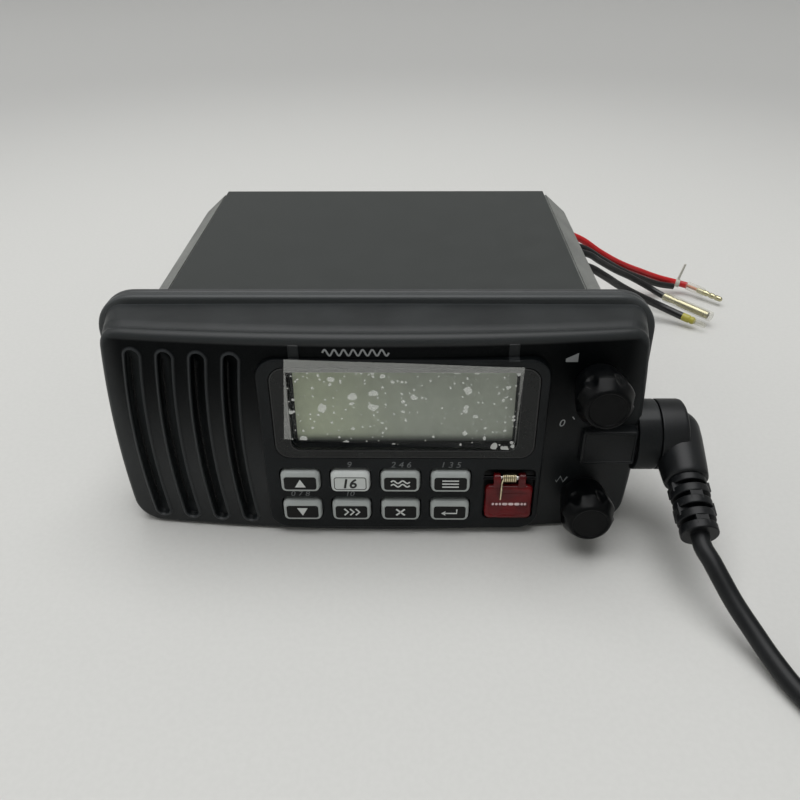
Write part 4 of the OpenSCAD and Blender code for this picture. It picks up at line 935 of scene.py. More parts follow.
# %% Protective film
FILM = [(-22.5, 58.1), (38.5, 55.8), (37.5, 30.0), (-24.4, 33.4)]
film = Finish("film_clear", rgb(244, 246, 242), 0.26, emission_strength=1.0)
x, y, z = film.places()
crowd = x.fade(26, 37) * 0.09 + (1 - x.fade(-24, -12)) * 0.03 + (1 - z.fade(31, 35)) * x.fade(4, 30) * 0.07
crowd = crowd + z.fade(49, 54) * x.fade(10, 34) * 0.05
across = film.add("ShaderNodeCombineXYZ", values={0: x, 1: z})
ripple = film.noise(2.4, 2, 0.5)


def flecks_of(cell_mm, largest, least, edge):
    """Ragged flecks in the sheet's plane, at most one in each cell, most of them small."""
    cells = ("ShaderNodeTexVoronoi", {"feature": "F1", "voronoi_dimensions": "2D"},
             {"Vector": across, "Scale": 1 / cell_mm, "Randomness": 1.0})
    apart = film.add(*cells)
    luck = film.add("ShaderNodeSeparateColor", values={0: film.add(*cells, output=1)})
    rare = luck * luck * luck
    radius = rare * rare * largest + least + crowd
    return (radius - apart - (film.noise(cell_mm * 0.55, 2, 0.6) - 0.5) * edge).fade(0.0, 0.05)


streaks = film.noise(0.9, 2, 0.5, stretch=(1, 1, 0.12))
flecks = flecks_of(2.7, 0.62, -0.07, 0.56).high(flecks_of(1.05, 0.52, -0.12, 0.4))
lifted = z.fade(54.05, 54.3).high(1 - x.fade(-22.6, -22.3)).high(x.fade(37.4, 37.7) * 0.7)
flecks = flecks * (1 - lifted)
film.put("Alpha", ((flecks * 0.42).high(lifted * (0.16 + streaks * 0.05)) + 0.008).clamp())
# Painted glow: the flecks give off a faint light of their own
film.put("Emission Color", film.mix(flecks, (0, 0, 0, 1), (0.02, 0.02, 0.02, 1)))
film.put("Roughness", 0.2 + flecks * 0.3)
film.bump(ripple, 0.06)
COLUMNS, ROWS, FILM_THICK = 60, 26, 0.03


def film_lift(u, v):
    """How far the film stands off the lens: slow ripples, and a curl along its top."""
    ripples = 0.05 * sin(9 * u + 4 * v) * sin(7 * v - 2 * u)
    return 0.1 + ripples + 0.25 * max(0, 0.12 - v) / 0.12 * sin(5 * u + 0.6) ** 2


def film_sheet(back):
    verts = []
    for j in range(ROWS + 1):
        for i in range(COLUMNS + 1):
            u, v = i / COLUMNS, j / ROWS
            top = Vector(FILM[0]).lerp(Vector(FILM[1]), u)
            low = Vector(FILM[3]).lerp(Vector(FILM[2]), u)
            p = top.lerp(low, v)
            verts.append((p.x, PAD_Y - 0.05 - film_lift(u, v) + back, p.y))
    return verts


front_sheet, back_sheet = film_sheet(0), film_sheet(FILM_THICK)
n = len(front_sheet)
row = COLUMNS + 1
quads = [(k, k + 1, k + row + 1, k + row) for j in range(ROWS) for k in range(j * row, j * row + COLUMNS)]
border = [i for i in range(COLUMNS)] + [COLUMNS + row * j for j in range(ROWS)]
border += [ROWS * row + COLUMNS - i for i in range(COLUMNS)] + [row * (ROWS - j) for j in range(ROWS)]
sheet_faces = quads + [tuple(n + i for i in reversed(q)) for q in quads]
sheet_faces += [(a, n + a, n + b, b) for a, b in zip(border, border[1:] + border[:1])]
make("lens_film", (front_sheet + back_sheet, sheet_faces), film, "radio", "film_clear", "lens_film", angle=60)

# %% [markdown]
# A key is a translucent cap whose upper edge slopes back and catches the light, with
# a black label flush on its face. Its sign is a thin raised print. The signs here are
# plain: arrows, bars, a cross and the channel number that such a set needs.

# %% Signs
KEY_FRONT = PAD_Y - 1.2
key_grey = worn("key_grey", rgb(166, 171, 169), 0.4, grain=0.5, depth=0.01, spread=0.06, tint=0.05)
key_light = worn("key_light", rgb(206, 210, 208), 0.42, grain=0.5, depth=0.01, spread=0.06, tint=0.04)
label_black = worn("label_black", rgb(9, 10, 10), 0.36, grain=0.5, depth=0.004, specular_ior_level=0.22)
print_light = worn("print_light", rgb(215, 218, 216), 0.5, grain=0.5, depth=0)
print_black = worn("print_black", rgb(10, 11, 12), 0.4, grain=0.5, depth=0)
print_dim = worn("print_dim", rgb(98, 101, 102), 0.5, grain=0.5, depth=0)


def prism(points, y, thick=0.05):
    """A flat sign: an outline pulled forward to y, counter-clockwise in x and z."""
    return loft([at_y(points, y + thick), at_y(points, y)])


def stroke(path, width):
    """The outline of a line of even width through the points."""
    left, right_side = [], []
    for i, p in enumerate(path):
        a, b = Vector(path[max(i - 1, 0)]), Vector(path[min(i + 1, len(path) - 1)])
        d = (b - a).normalized() * width / 2
        left.append((p[0] - d.y, p[1] + d.x))
        right_side.append((p[0] + d.y, p[1] - d.x))
    return right_side + left[::-1]


def shifted(points, dx, dz):
    return [(x + dx, z + dz) for x, z in points]


def numerals(text, height, slant=0.2, bold=0.0):
    """The outline mesh of plain figures, middle at 0, as (verts, faces) in x and z."""
    curve = bpy.data.curves.new("figures", "FONT")
    curve.body, curve.size, curve.shear, curve.offset = text, height * 1.45, slant, bold
    curve.align_x, curve.extrude, curve.resolution_u = "CENTER", 0.03, 5
    obj = linked("figures", curve)
    mesh = bpy.data.meshes.new_from_object(obj.evaluated_get(bpy.context.evaluated_depsgraph_get()))
    points = [v.co.copy() for v in mesh.vertices]
    low, high = min(p.y for p in points), max(p.y for p in points)
    left, right_end = min(p.x for p in points), max(p.x for p in points)
    verts = [(p.x - (left + right_end) / 2, -p.z, p.y - (low + high) / 2) for p in points]
    faces = [tuple(f.vertices) for f in mesh.polygons]
    bpy.data.objects.remove(obj)
    bpy.data.curves.remove(curve)
    bpy.data.meshes.remove(mesh)
    return verts, faces


def moved(part, dx, dy, dz):
    return [(x + dx, y + dy, z + dz) for x, y, z in part[0]], part[1]


arrow_up = [(-1.5, -1.35), (1.5, -1.35), (0, 1.35)]
arrow_down = [(0, -1.35), (1.5, 1.35), (-1.5, 1.35)]
sign_wave = stroke([(-2.6 + 0.26 * i, 0.45 * sin(i * 0.63)) for i in range(21)], 0.42)
SIGNS = {
    "up": [arrow_up], "down": [arrow_down],
    "channel": [shifted(sign_wave, 0, dz) for dz in (0.62, -0.62)],
    "menu": [stroke([(-2.3, dz), (2.3, dz)], 0.42) for dz in (1.05, 0, -1.05)],
    "scan": [stroke([(dx, 1.15), (dx + 1.1, 0), (dx, -1.15)], 0.48) for dx in (-2.0, -0.4, 1.2)],
    "clear": [stroke([(-1.2, -1.1), (1.2, 1.1)], 0.5), stroke([(-1.2, 1.1), (1.2, -1.1)], 0.5)],
    "enter": [stroke([(2.0, 1.1), (2.0, -0.35), (-1.4, -0.35)], 0.42), [(-2.4, -0.35), (-1.2, -1.15), (-1.2, 0.45)]],
}

# %% [markdown]
# A cap could be a bevelled block, but its four slopes differ: the upper one is broad
# and the others narrow. So the cap is lofted from a table of levels, each drawn in
# by its own amounts, and the label, its thin outline and its sign are laid on it.

# %% Keys
CAP = [  # depth behind the front, then how far top, sides and bottom are drawn in
    (5.6, 0.8, 0.15, 0.2), (1.7, 0.8, 0.15, 0.2), (1.2, 0.84, 0.18, 0.22), (0.85, 0.95, 0.26, 0.27),
    (0.55, 1.2, 0.34, 0.33), (0.32, 1.5, 0.42, 0.4), (0.15, 1.75, 0.5, 0.46), (0.05, 1.88, 0.58, 0.54),
    (0.01, 1.95, 0.66, 0.6), (0, 2.02, 0.78, 0.7),
]
LABEL = (9.0, 4.3, 0.8)
LABEL_Z = -0.56


def key_cap(name, column, row, finish, signs, dark=True):
    kx, kz = KEY_X + column * KEY_DX, KEY_Z - row * KEY_DZ
    rings = []
    for depth, top, side, low in CAP:
        w, h, r = KEY_W - 2 * side, KEY_H - top - low, max(0.5, KEY_R - side * 0.7)
        rings.append(at_y(rounded_rect(kx, kz + (low - top) / 2, w, h, r, 0, 8), KEY_FRONT + depth))
    cap = mesh_object("key_" + name, loft(rings), finish, (label_black, print_light, print_black))
    bm = bmesh.new()
    bm.from_mesh(cap.data)
    extras = []
    label = rounded_rect(kx, kz + LABEL_Z, *LABEL, 0, 6)
    if dark:
        extras.append((prism(label, KEY_FRONT - 0.03, 0.06), 1))
        extras += [(prism(shifted(s, kx, kz + LABEL_Z), KEY_FRONT - 0.06, 0.05), 2) for s in signs]
    else:
        inner = rounded_rect(kx, kz + LABEL_Z, *LABEL, -0.22, 6)
        back, front_y = KEY_FRONT + 0.03, KEY_FRONT - 0.03
        corners = (label, back), (label, front_y), (inner, front_y), (inner, back), (label, back)
        extras.append((loft([at_y(shape, y) for shape, y in corners], False, False), 3))
        extras += [(moved(s, kx, KEY_FRONT - 0.02, kz + LABEL_Z), 3) for s in signs]
    for (verts, faces), index in extras:
        made = [bm.verts.new(Vector(v) * MM) for v in verts]
        for face in faces:
            try:
                bm.faces.new([made[i] for i in face]).material_index = index
            except ValueError:
                pass
    bmesh.ops.recalc_face_normals(bm, faces=bm.faces)
    bm.to_mesh(cap.data)
    bm.free()
    shaded(cap, 35)
    slot = "key_grey" if dark else "key_light"
    return placed(cap, "key_" + name, slot, "key_" + name)


DARK_KEYS = {"up": (0, 0), "channel": (2, 0), "menu": (3, 0), "down": (0, 1), "scan": (1, 1), "clear": (2, 1),
             "enter": (3, 1)}
for name, (column, row) in DARK_KEYS.items():
    key_cap(name, column, row, key_grey, SIGNS[name])
key_cap("sixteen", 1, 0, key_light, [numerals("16", 3.0, 0.16, 0.11)], dark=False)

# %% [markdown]
# Small pale prints stand beside the keys and the knobs. Plain figures, a wedge for
# loudness and a zigzag for noise say what a control does without a word.

# %% Prints on the shell
UPPER_Z, LOWER_Z = 24.85, 14.65
figures = [
    moved(numerals(text, height), KEY_X + x, PAD_Y - 0.04, z) for text, height, x, z in (
        ("9", 1.9, KEY_DX, UPPER_Z), ("2 4 6", 1.9, 2 * KEY_DX + 0.2, UPPER_Z),
        ("1 3 5", 1.9, 3 * KEY_DX + 0.2, UPPER_Z), ("0 7 8", 1.8, -0.3, LOWER_Z), ("10", 1.8, KEY_DX - 0.1, LOWER_Z))
]
make("prints_dim", merged(*figures), print_dim, "radio", "shell_plastic", angle=30)

WAVES, WAVE_LONG, TITLE_AT = 7, 2.4, (-4.3, 59.5)
title = [stroke([((k - WAVES // 2) * WAVE_LONG - 1.2 + 0.12 * i, 0.85 * sin(i * 0.314)) for i in range(21)], 0.44)
         for k in range(WAVES)]
zigzag = [(-2.4, -0.8), (-1.4, 1.0), (-0.4, -1.0), (0.5, 1.0), (1.4, -1.0), (2.4, 0.8)]
signs = [(loft([at_y(wave, 0.05), at_y(wave, -0.03)]), *TITLE_AT) for wave in title]
signs += [
    (prism([(-2.5, -1.2), (2.4, -1.2), (2.4, 1.4)], -0.03), 50.0, 56.8),
    (numerals("0", 2.2), 50.4, 36.7),
    (prism(stroke([(-0.3, 0.4), (0.3, -0.4)], 0.3), -0.03), 53.3, 38.1),
    (prism(stroke(zigzag, 0.42), -0.03), 51.2, 17.6),
]
print_mid = worn("print_mid", rgb(140, 143, 144), 0.5, grain=0.5, depth=0)
make("prints_light", merged(*[moved(part, x, crown(x) - 0.04, z) for part, x, z in signs]), print_mid,
     "radio", "shell_plastic", angle=30)
print("signs on", len(SIGNS) + 1, "keys")

# %% [markdown]
# The distress key hides under a red see-through cover that lifts on a steel pin, held
# shut by a coil spring. The cover is a rounded slab with two lugs. The pin stays with
# the radio, so the cover and its spring turn round it, and the key below stays put.

# %% Distress cover
red_clear = Finish("guard_red", rgb(110, 10, 18), 0.2, specular_ior_level=0.4)
depth_tone = red_clear.noise(5, 2)
x, y, z = red_clear.places()
red_clear.put("Base Color", red_clear.mix(depth_tone.fade(0.35, 0.65), rgb(82, 4, 9), rgb(112, 6, 14)))
red_clear.put("Alpha", 0.86 + (depth_tone - 0.5) * 0.06)
red_clear.put("Roughness", 0.18 + depth_tone * 0.1)
GUARD_LOW, GUARD_H, GUARD_W, GUARD_Y = 6.4, 11.4, 13.2, PAD_Y - 0.9
AXIS_Y, AXIS_Z = PAD_Y + 0.7, 20.0


def guard_outline(grow, top):
    """The cover's outline, grown all round and drawn in at its top."""
    w, h = GUARD_W + 2 * grow, GUARD_H + 2 * grow - top
    return rounded_rect(GUARD_X, GUARD_LOW + GUARD_H / 2 - top / 2, w, h, 1.5, 0, 8)


SLAB = [  # depth behind the front, then how far its outline is grown, and drawn in at the top
    (1.8, -0.25, 0), (1.62, 0, 0), (0.85, 0, 0), (0.45, -0.12, 0.1), (0.16, -0.36, 0.35), (0.02, -0.72, 0.6),
    (0, -1.0, 0.7), (0.03, -1.16, 0.75), (0.16, -1.22, 0.78), (0.18, -1.45, 0.8), (0.06, -1.6, 0.8),
    (0.05, -1.9, 0.8),
]
slab = loft([at_y(guard_outline(grow, top), GUARD_Y + depth) for depth, grow, top in SLAB])
wedge = [(GUARD_X - 2.6, 8.2), (GUARD_X + 2.6, 8.2), (GUARD_X + 2.0, 9.6), (GUARD_X - 2.0, 9.6)]
wedge_tip = [(GUARD_X + (x - GUARD_X) * 0.85, 8.9 + (z - 8.9) * 0.7) for x, z in wedge]
foot = loft([at_y(wedge, GUARD_Y + 0.2), at_y(wedge, GUARD_Y - 0.02), at_y(wedge_tip, GUARD_Y - 0.1)])
LUG_X, LUG = 3.45, [(0.74, -1), (1.3, -1), (1.5, -0.8), (1.5, 0.8), (1.3, 1), (0.74, 1), (0.74, -1)]
LUG_ARM = (18.6, 2.0, 2.6, 0.3)
lugs = []
for lug_x in (GUARD_X - LUG_X, GUARD_X + LUG_X):
    arm, arm_tip = (rounded_rect(lug_x, *LUG_ARM, grow, 4) for grow in (0, -0.2))
    lugs += [lathe(LUG, (lug_x, AXIS_Y, AXIS_Z), (1, 0, 0), 32, caps=False),
             loft([at_y(arm, AXIS_Y + 0.1), at_y(arm, AXIS_Y - 1.35), at_y(arm_tip, AXIS_Y - 1.5)])]
make("distress_cover", merged(slab, foot, *lugs), red_clear, "distress_cover", "guard_red", "distress_cover")

SHORT, LONG, DASH_Z = 0.62, 1.3, 11.8
DASHES = {-4.3: SHORT, -3.3: SHORT, -2.3: SHORT, -0.95: LONG, 0.75: LONG, 2.45: LONG, 3.8: SHORT, 4.7: SHORT}
marks = [prism(rounded_rect(GUARD_X + dx, DASH_Z, w * 1.12, 0.85, 0.36, 0, 3), GUARD_Y - 0.02, 0.12)
         for dx, w in DASHES.items()]
print_pale = worn("print_pale", rgb(222, 208, 208), 0.5, grain=0.4, depth=0)
make("distress_marks", merged(*marks), print_pale, "distress_cover", "guard_red", angle=30)

# %% [markdown]
# A spring is a round wire that follows a spiral. Geometry Nodes have a spiral curve
# and turn it into a tube, so the number of turns, the radius and the wire's thickness
# stay as inputs of the tree. Rows of ribs repeat one piece along a line, so their
# number and their pitch are inputs as well.

# %% Geometry trees
class Tree:
    """A geometry tree with named sizes. `run` gives its result as a plain mesh object."""
    def __init__(self, name, finish, **sizes):
        self.group = bpy.data.node_groups.new(name, "GeometryNodeTree")
        face = self.group.interface
        face.new_socket("Geometry", in_out="INPUT", socket_type="NodeSocketGeometry")
        face.new_socket("Geometry", in_out="OUTPUT", socket_type="NodeSocketGeometry")
        self.sizes = {}
        for key, value in sizes.items():
            kind = "NodeSocketInt" if isinstance(value, int) else "NodeSocketFloat"
            socket = face.new_socket(key, in_out="INPUT", socket_type=kind)
            self.sizes[key] = (socket.identifier, value)
        self.inputs = self.group.nodes.new("NodeGroupInput")
        self.output = self.group.nodes.new("NodeGroupOutput")
        self.finish, self.name = finish, name

    def size(self, key):
        return self.inputs.outputs[key]

    def add(self, kind, settings=None, links=None):
        node = self.group.nodes.new(kind)
        for key, value in (settings or {}).items():
            setattr(node, key, value)
        for key, value in (links or {}).items():
            if isinstance(value, bpy.types.NodeSocket):
                self.group.links.new(value, node.inputs[key])
            else:
                node.inputs[key].default_value = value
        return node

    def run(self, socket):
        real = self.add("GeometryNodeRealizeInstances", links={0: socket})
        paint = self.add("GeometryNodeSetMaterial", links={
            "Geometry": real.outputs[0], "Material": self.finish.material})
        self.group.links.new(paint.outputs[0], self.output.inputs[0])
        obj = linked(self.name, bpy.data.meshes.new(self.name))
        modifier = obj.modifiers.new("tree", "NODES")
        modifier.node_group = self.group
        for identifier, value in self.sizes.values():
            modifier[identifier] = value
        bake(obj)
        if not obj.data.materials:
            obj.data.materials.append(self.finish.material)
        return obj


def coil_of(tree, sides, resolution):
    """Runs a tree as a round wire on a spiral, from its turns, radius, length and wire."""
    radius = tree.size("radius")
    spiral = tree.add("GeometryNodeCurveSpiral", links={
        "Resolution": resolution, "Rotations": tree.size("turns"), "Start Radius": radius, "End Radius": radius,
        "Height": tree.size("length")})
    section = tree.add("GeometryNodeCurvePrimitiveCircle", links={"Resolution": sides, "Radius": tree.size("wire")})
    tube = tree.add("GeometryNodeCurveToMesh", links={
        "Curve": spiral.outputs[0], "Profile Curve": section.outputs[0], "Fill Caps": True})
    return tree.run(tube.outputs[0])


def row_of(tree, rib, axis, start=(0, 0, 0), **scale):
    """Runs a tree as a row of ribs, from their number and their pitch along an axis."""
    step = tree.add("ShaderNodeCombineXYZ", links={axis: tree.size("pitch")})
    line = tree.add("GeometryNodeMeshLine", links={
        "Count": tree.size("ribs"), "Start Location": start, "Offset": step.outputs[0]})
    row = tree.add("GeometryNodeInstanceOnPoints", links={
        "Points": line.outputs[0], "Instance": rib.outputs[0], **scale})
    return tree.run(row.outputs[0])


def settle(obj, matrix):
    """Moves a made mesh to its place in millimetres and leaves the object at the origin."""
    obj.data.transform(Matrix.Diagonal((MM, MM, MM, 1)) @ matrix)
    tidy_mesh(obj.data)


# %% [markdown]
# The spring sits round the pin, between the cover's two lugs, and its straight leg
# presses on the cover. The pin is bright between the lugs and painted dark from the lugs
# outward, as painted shade where it runs into the lugs and the recess walls. A plain red
# key lies under the cover, on a body of its own, so that it can be pressed.

# %% Spring and pin of the cover
steel = worn("spring_steel", rgb(214, 204, 172), 0.24, grain=0.5, depth=0.01, metallic=1.0)
chrome = worn("pin_chrome", rgb(205, 205, 202), 0.2, grain=0.6, depth=0.008, metallic=1.0)
x, y, z = chrome.places()
# Painted shade: the pin is dark from the lugs outward
chrome.put("Base Color", chrome.mix(abs(x - GUARD_X).fade(2.4, 2.5), rgb(205, 205, 200), rgb(24, 24, 25)))
WIRE, COILS, COIL_RADIUS, COIL_PITCH = 0.5, 7, 1.2, 0.56
COIL_LONG = COILS * COIL_PITCH
coil = Tree("cover_spring", steel, turns=float(COILS), radius=COIL_RADIUS, length=COIL_LONG, wire=WIRE / 2)
spring = coil_of(coil, 10, 24)
settle(spring, Matrix.Translation((GUARD_X - COIL_LONG / 2, AXIS_Y, AXIS_Z)) @ Matrix.Rotation(radians(90), 4, "Y"))
leg_x, leg_y = GUARD_X - COIL_LONG / 2, GUARD_Y - 0.4
leg_path = [(leg_x - 0.4, leg_y, AXIS_Z - 6.2), (leg_x - 0.35, leg_y, AXIS_Z - 4), (leg_x - 0.3, leg_y, AXIS_Z - 2.4),
            (leg_x - 0.15, AXIS_Y - COIL_RADIUS - 0.1, AXIS_Z - 0.9),
            (leg_x + 0.05, AXIS_Y - COIL_RADIUS, AXIS_Z + 0.1)]


def tube_along(path, radius):
    """A closed tube of ten sides through the points, with four steps of a smooth curve between them."""
    sides, steps = 10, 4
    points = []
    for i in range(len(path) - 1):
        p = [Vector(path[k]) for k in (max(i - 1, 0), i, i + 1, min(i + 2, len(path) - 1))]
        for k in range(steps):
            t = k / steps
            points.append(0.5 * ((2 * p[1]) + (p[2] - p[0]) * t + (2 * p[0] - 5 * p[1] + 4 * p[2] - p[3]) * t ** 2
                                 + (3 * p[1] - p[0] - 3 * p[2] + p[3]) * t ** 3))
    points.append(Vector(path[-1]))
    side, rings = None, []
    for i, p in enumerate(points):
        t = (points[min(i + 1, len(points) - 1)] - points[max(i - 1, 0)]).normalized()
        side = t.orthogonal().normalized() if side is None else (side - t * side.dot(t)).normalized()
        other = t.cross(side)
        rings.append(hoop(p, side, other, radius, sides))
    return loft(rings)


shaded(spring, 60, False)
placed(spring, "distress_cover", "spring_steel", "distress_spring")
make("spring_leg", tube_along(leg_path, WIRE / 2), steel, "distress_cover", "spring_steel", angle=60)
pin = [(0.3, -8.05), (0.6, -8.05), (0.69, -7.9), (0.69, 7.9), (0.6, 8.05), (0.3, 8.05)]
make("cover_pin", lathe(pin, (GUARD_X, AXIS_Y, AXIS_Z), (1, 0, 0), 24), chrome, "radio", "pin_chrome", "distress_pin",
     angle=50)
red_key = worn("distress_key_red", rgb(150, 24, 30), 0.42, grain=0.5)
BUTTON = (GUARD_X, GUARD_LOW + GUARD_H / 2 + 0.3, 7, 5.4, 1)
BUTTON_EDGE = (0, -63.6), (0, -65.9), (-0.12, -66.1), (-0.4, -66.2)
button = loft([at_y(rounded_rect(*BUTTON, grow, 6), y) for grow, y in BUTTON_EDGE])
make("distress_button", button, red_key, "distress_key", "key_red", "distress_key")

# %% [markdown]
# A knob is turned, then six scoops are cut into its shoulder for the fingers. Its mesh
# is a grid of angle by length, and each point's radius is the smaller of the turned
# profile and the scoop, blended so that the scoop's lip stays soft.

# %% Knobs
knob_rubber = Finish("knob_rubber", rgb(12, 14, 15), 0.46, specular_ior_level=0.12)
knob_grain, knob_wear = knob_rubber.noise(0.4, 2, 0.6), knob_rubber.noise(4, 3, 0.6)
knob_rubber.put("Base Color", knob_rubber.mix(knob_wear.fade(0.35, 0.68), rgb(3, 4, 5), rgb(7, 8, 9)))
knob_rubber.put("Roughness", 0.27 + knob_wear * 0.14)
knob_rubber.bump(knob_grain, 0.02)
KNOB_X, KNOB_BACK, KNOB_BORE, SCOOP_SOFT = 58, -66.255, 3.1, 0.35
KNOB_PROFILE = [(0, 5.7), (0.25, 6.05), (0.7, 6.2), (4, 6.7), (8.2, 7.35), (9.0, 7.44), (9.6, 7.35), (10.3, 7.0),
                (12.2, 5.95), (12.7, 5.6), (12.95, 5.3), (13, 5.1)]
KNOB_LEVELS = [0, 0.25, 0.7, 2, 3.5, 4.6, *np.arange(5.4, 12.9, 0.28), 12.95, 13]
KNOB_DISH = (4.9, 13.0), (4.72, 12.9), (4.6, 12.72), (4.3, 12.7), (2, 12.7)
SCOOPS, SCOOP_R, SCOOP_AT, SCOOP_FROM, SCOOP_TURN = 6, 2.3, 8.75, 5.4, 0.08


def scoop_radius(angle, s):
    """The radius that a scoop leaves at this angle and length, or none outside the scoops."""
    reach = SCOOP_R
    if s < SCOOP_FROM + SCOOP_R:
        reach = SCOOP_R * sqrt(max(0, 1 - ((SCOOP_FROM + SCOOP_R - s) / SCOOP_R) ** 2))
    step = 2 * pi / SCOOPS
    d = (angle - SCOOP_TURN * step) % step
    d = min(d, step - d)
    if reach < 0.05 or abs(sin(d)) * SCOOP_AT >= reach:
        return None
    return SCOOP_AT * cos(d) - sqrt(reach ** 2 - (SCOOP_AT * sin(d)) ** 2)


def knob_radius(angle, s):
    """The smaller of the turned profile and the scoop, blended where they meet."""
    base = float(np.interp(s, *zip(*KNOB_PROFILE)))
    cut = scoop_radius(angle, s)
    if cut is None:
        return base
    h = max(0.0, min(1.0, 0.5 + 0.5 * (cut - base) / SCOOP_SOFT))
    return cut + (base - cut) * h - SCOOP_SOFT * h * (1 - h)


def knob(name, kz, body):
    sides = 192
    turns = np.linspace(0, 2 * pi, sides, endpoint=False)

    def ring(s, radii):
        return [(KNOB_X + r * cos(a), KNOB_BACK - s, kz + r * sin(a)) for a, r in zip(turns, radii)]

    rings = [ring(0, [KNOB_BORE] * sides), *[ring(s, [knob_radius(a, s) for a in turns]) for s in KNOB_LEVELS],
             *[ring(s, [r] * sides) for r, s in KNOB_DISH]]
    make(name, loft(rings), knob_rubber, body, "knob_rubber", name, angle=42)


knob("volume_knob", 50, "volume")
knob("squelch_knob", 13.5, "squelch")

# %% [markdown]
# The microphone's plug is a drum against the shell's boss, an elbow and a collar, all
# moulded in one. Each is round, so each is a lathe profile with soft edges.

# %% Microphone plug
plug_rubber = worn("plug_rubber", rgb(15, 17, 19), 0.42, grain=0.6, depth=0.015, spread=0.1, tint=0.16,
                   specular_ior_level=0.32)
DRUM = [(4, 77.85), (9.5, 77.85), (9.9, 78.1), (9.99, 78.5), (9.99, 84.2), (9.8, 84.9), (9.3, 85.3), (8.8, 85.4),
        (4, 85.4)]
ELBOW_R = 6.9
ELBOW = [(ELBOW_R * sin(radians(a)), -ELBOW_R * cos(radians(a))) for a in range(4, 91, 6)]
COLLAR = [(6.86, 3), (6.6, 7), (6.2, 12.4), (6.0, 14.6), (5.85, 15.5), (5.5, 15.9), (4.9, 16.0), (3, 16.0)]
drum = lathe(DRUM, (0, PLUG_Y, PLUG_Z), (1, 0, 0), 96)
elbow = lathe(ELBOW + COLLAR, (ARM_X, PLUG_Y, PLUG_Z), ARM_DIR, 72)
make("microphone_plug", merged(drum, elbow), plug_rubber, "radio", "plug_rubber", "mic_plug", angle=45)

# %% [markdown]
# The strain relief is a soft core with thick discs, joined in turn at the sides and
# at the top and bottom, so that it bends a little at each gap. The discs repeat, so a
# tree sets them in a row, each a little smaller. The joining blocks are plain lofts.

# %% Strain relief
RIBS = 4
RIB_PITCH, RIB_FIRST, RIB_THICK, RIB_R, RIB_SHRINK = 3.6, 3.9, 2.45, 5.15, 0.015
tree = Tree("relief_ribs", cord_black, ribs=RIBS, pitch=RIB_PITCH, radius=RIB_R, thick=RIB_THICK)
disc = tree.add("GeometryNodeMeshCylinder", links={
    "Vertices": 64, "Radius": tree.size("radius"), "Depth": tree.size("thick")})
index = tree.add("GeometryNodeInputIndex")
shrink = tree.add("ShaderNodeMath", {"operation": "MULTIPLY_ADD"}, {0: index.outputs[0], 1: -RIB_SHRINK, 2: 1.0})
scale = tree.add("ShaderNodeCombineXYZ", links={0: shrink.outputs[0], 1: shrink.outputs[0], 2: 1.0})
relief = row_of(tree, disc, 2, (0, 0, RIB_FIRST), Scale=scale.outputs[0])
frame_turn = ARM_DIR.to_track_quat("Z", "Y").to_matrix().to_4x4()
settle(relief, Matrix.Translation(relief_start) @ frame_turn)
soft = relief.modifiers.new("soft", "BEVEL")
soft.width, soft.segments, soft.limit_method, soft.angle_limit = 0.35 * MM, 3, "ANGLE", radians(40)
bake(relief)
shaded(relief, 50)
placed(relief, "radio", "plug_rubber", "strain_relief")
side_x, side_z = frame_turn @ Vector((1, 0, 0)), frame_turn @ Vector((0, 1, 0))
CORE = [(2, -0.4), (5.0, -0.4), (5.0, 1.2), (4.8, 1.45), (2.7, 1.5), (2.6, 15.7), (2.5, 16.0), (2, 16.0)]
CORE_R, CORE_FROM = 2.2, 1.2
bridges = [lathe(CORE, relief_start, ARM_DIR, 64)]
for i in range(RIBS):
    across, other, half = (side_z, side_x, 1.6) if i % 2 else (side_x, side_z, 2.3)
    reach = RIB_R * (1 - RIB_SHRINK * i) - 0.2
    low = RIB_FIRST + (i - 1) * RIB_PITCH
    block = (CORE_R, -half), (reach, -half), (reach, half), (CORE_R, half)
    for sign in (-1, 1):
        ends = [relief_start + ARM_DIR * s for s in (max(CORE_FROM, low), low + RIB_PITCH)]
        bridges.append(loft([[end + across * sign * r + other * w for r, w in block] for end in ends]))
make("relief_core", merged(*bridges), cord_black, "radio", "plug_rubber")
print("relief ribs:", RIBS)

# %% [markdown]
# The casting, the cover and the hand microphone have the right shape already, but the
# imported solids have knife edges, and real edges catch light. `softened` copies such a
# solid, merges it, cleans its flat faces and rounds its edges by 0.2 to 0.5 mm. The
# copy then stands for the solid. The casting's holed back is split into triangles first.

# %% Softened copies
FLAT_WITHIN, EDGE_FROM, EDGE_STEPS = 0.4, 30, 2


def softened(node, finish, slot, width, split=False):
    source = nodes[node]
    obj = linked(node + "_soft", source.data.copy())
    obj.data.materials.clear()
    obj.data.materials.append(finish.material)
    for face in obj.data.polygons:
        face.material_index = 0
    bm = bmesh.new()
    bm.from_mesh(obj.data)
    bmesh.ops.remove_doubles(bm, verts=bm.verts, dist=1.5e-6)
    bmesh.ops.dissolve_limit(bm, angle_limit=radians(FLAT_WITHIN), verts=bm.verts, edges=bm.edges)
    if split:
        bmesh.ops.triangulate(bm, faces=bm.faces, ngon_method="BEAUTY")
    bm.to_mesh(obj.data)
    bm.free()
    soft = obj.modifiers.new("soft", "BEVEL")
    soft.width, soft.segments, soft.miter_outer = width * MM, EDGE_STEPS, "MITER_ARC"
    soft.limit_method, soft.angle_limit = "ANGLE", radians(EDGE_FROM)
    bake(obj)
    low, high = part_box(node)
    for v in obj.data.vertices:
        v.co = [min(max(c, a), b) for c, a, b in zip(v.co, low, high)]
    shaded(obj, 35)
    placed(obj, source["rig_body"], slot, node)


# %% [markdown]
# The casting is painted grey over a sand-like grain. The cover is smooth powder coat.
# Screws are zinc with turned heads, and the inserts are brass.

